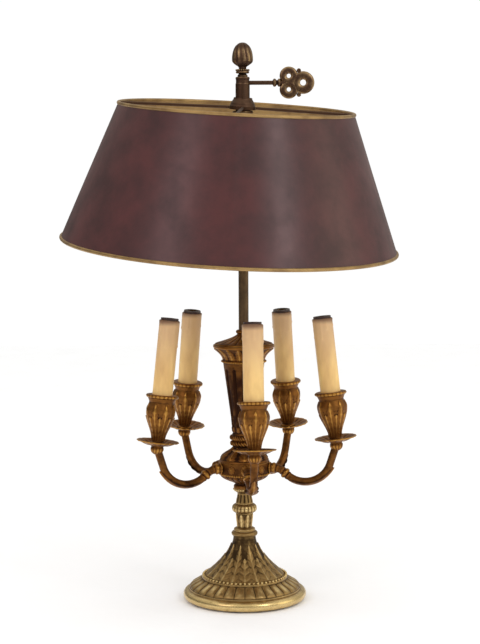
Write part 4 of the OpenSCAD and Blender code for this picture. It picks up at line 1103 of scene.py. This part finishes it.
def shell_face(r0, r1, height, seam_width, side):
    """Points of one face of the shade: a cone from radius r0 to r1 with a slow ripple of the sheet and a
    lapped seam at the back. side is 1 for the outer face, upwards, and -1 for the inner one, downwards."""
    a, t = around(288), np.linspace(0, 1, 60)[:, None]
    r = r0 + (r1 - r0) * t
    ripple = 0.22 * MM * np.sin(3 * a + 0.7) * np.sin(pi * t) + 0.12 * MM * np.sin(7 * a) * np.sin(2 * pi * t)
    lap = ((a - pi / 2 + pi) % (2 * pi) - pi) * r
    seam = 0.5 * MM * np.clip((seam_width / 2 - np.abs(lap)) / (1.2 * MM), 0, 1) * np.sin(pi * t) ** 0.2
    grid = polar(r + ripple + (seam if side > 0 else 0), a, height * t)
    return grid if side > 0 else grid[::-1]


class LAMP_OT_stage(bpy.types.Operator):
    """Lay the pale floor, and set up the studio light and the camera"""
    bl_idname = "lamp.stage"
    bl_label = "Stage"

    def execute(self, context):
        p, scene = context.scene.lamp_stage, context.scene
        half_side, aim_height = 3.0, 0.4
        u = np.linspace(-half_side, half_side, 9)
        x, y = np.meshgrid(u, u, indexing="ij")
        points, quads, _, _ = sheet(np.stack([x, y, 0 * x], -1), wrap=(False, False))
        mesh = bpy.data.meshes.new("floor")
        mesh.from_pydata(points, [], quads)
        mesh.materials.append(plain_finish("pale_studio_floor", p.floor, p.floor, 80 * MM, 0.7))
        floor = bpy.data.objects.new("floor", mesh)
        scene.collection.objects.link(floor)
        camera = bpy.data.objects.new("camera", bpy.data.cameras.new("camera"))
        scene.collection.objects.link(camera)
        camera.data.lens = p.lens
        camera.data.sensor_width = 36
        camera.location = (p.aside, -p.distance, p.height)
        camera.rotation_euler = Euler((pi / 2 - p.pitch, p.roll, 0), "XYZ")
        scene.camera = camera
        scene.world = scene.world or bpy.data.worlds.new("studio")
        scene.world.use_nodes = True
        tree = scene.world.node_tree
        tree.nodes.clear()
        # The lamp stands in white light, and its metal mirrors a dim room, darker to the left and below
        white = add_node(tree, "ShaderNodeBackground", {"Color": (1.0, 1.0, 1.0), "Strength": p.glow})
        way = add_node(tree, "ShaderNodeSeparateXYZ",
                       {0: add_node(tree, "ShaderNodeTexCoord").outputs["Generated"]}).outputs
        sides = add_node(tree, "ShaderNodeMapRange", {"Value": way["X"], "From Min": -1.0, "From Max": 1.0,
                                                      "To Min": 0.25 * p.room, "To Max": 1.75 * p.room})
        dusk = add_node(tree, "ShaderNodeMapRange", {"Value": way["Z"], "From Min": 0.0, "From Max": 0.9,
                                                     "To Min": sides.outputs[0], "To Max": 0.9},
                        interpolation_type="SMOOTHSTEP")
        room = add_node(tree, "ShaderNodeBackground", {"Color": (1.0, 0.98, 0.9),
                                                       "Strength": dusk.outputs[0]})
        glossy = add_node(tree, "ShaderNodeLightPath").outputs["Is Glossy Ray"]
        both = add_node(tree, "ShaderNodeMixShader", {0: glossy, 1: white.outputs[0], 2: room.outputs[0]})
        add_node(tree, "ShaderNodeOutputWorld", {"Surface": both.outputs[0]})
        for name, spot, size, power, colour in (
                ("left_box", (-1.36, -1.6, 1.47), (0.8, 1.0), 6.2, (1.0, 0.86, 0.89)),
                ("right_box", (1.33, -1.57, 1.53), (0.5, 0.9), 8.0, (1.0, 1.0, 1.0)),
                ("warm_card", (2.1, -0.3, 0.9), (1.2, 1.2), 5.0, (1.0, 0.93, 0.72))):
            light = bpy.data.objects.new(name, bpy.data.lights.new(name, "AREA"))
            light.data.shape = "RECTANGLE"
            light.data.size, light.data.size_y = size
            light.data.energy = power
            light.data.color = colour
            light.location = spot
            aim = Vector((0, 0, aim_height)) - Vector(spot)
            light.rotation_euler = aim.to_track_quat("-Z", "Y").to_euler()
            scene.collection.objects.link(light)
        scene.view_settings.view_transform = "Standard"
        return {"FINISHED"}


class LAMP_PT_panel(bpy.types.Panel):
    """Lists the lamp's pieces in the sidebar"""
    bl_idname = "LAMP_PT_panel"
    bl_label = "Bouillotte lamp"
    bl_space_type = "VIEW_3D"
    bl_region_type = "UI"
    bl_category = "Lamp"

    def draw(self, context):
        for operator in OPERATORS:
            self.layout.operator(operator.bl_idname)
        for group in SETTINGS:
            settings = getattr(context.scene, group)
            box = self.layout.box()
            for key in settings.__annotations__:
                box.prop(settings, key)


OPERATORS = (LAMP_OT_hidden_parts, LAMP_OT_foot, LAMP_OT_stem, LAMP_OT_hub, LAMP_OT_column, LAMP_OT_pole,
             LAMP_OT_arms, LAMP_OT_cups, LAMP_OT_candles, LAMP_OT_carrier, LAMP_OT_shade, LAMP_OT_stage)
SETTINGS = {"lamp_tones": LampTones, "lamp_foot": LampFoot, "lamp_arms": LampArms,
            "lamp_candles": LampCandles, "lamp_shade": LampShade, "lamp_stage": LampStage}


def register():
    """Registers the settings, the operators and the panel."""
    for name, group in SETTINGS.items():
        bpy.utils.register_class(group)
        setattr(bpy.types.Scene, name, PointerProperty(type=group))
    for cls in (*OPERATORS, LAMP_PT_panel):
        bpy.utils.register_class(cls)


def unregister():
    """Takes them away again."""
    for cls in reversed((*OPERATORS, LAMP_PT_panel)):
        bpy.utils.unregister_class(cls)
    for name, group in SETTINGS.items():
        delattr(bpy.types.Scene, name)
        bpy.utils.unregister_class(group)


def main():
    register()
    for operator in OPERATORS:
        group, name = operator.bl_idname.split(".")
        getattr(getattr(bpy.ops, group), name)()


if __name__ == "__main__":
    main()
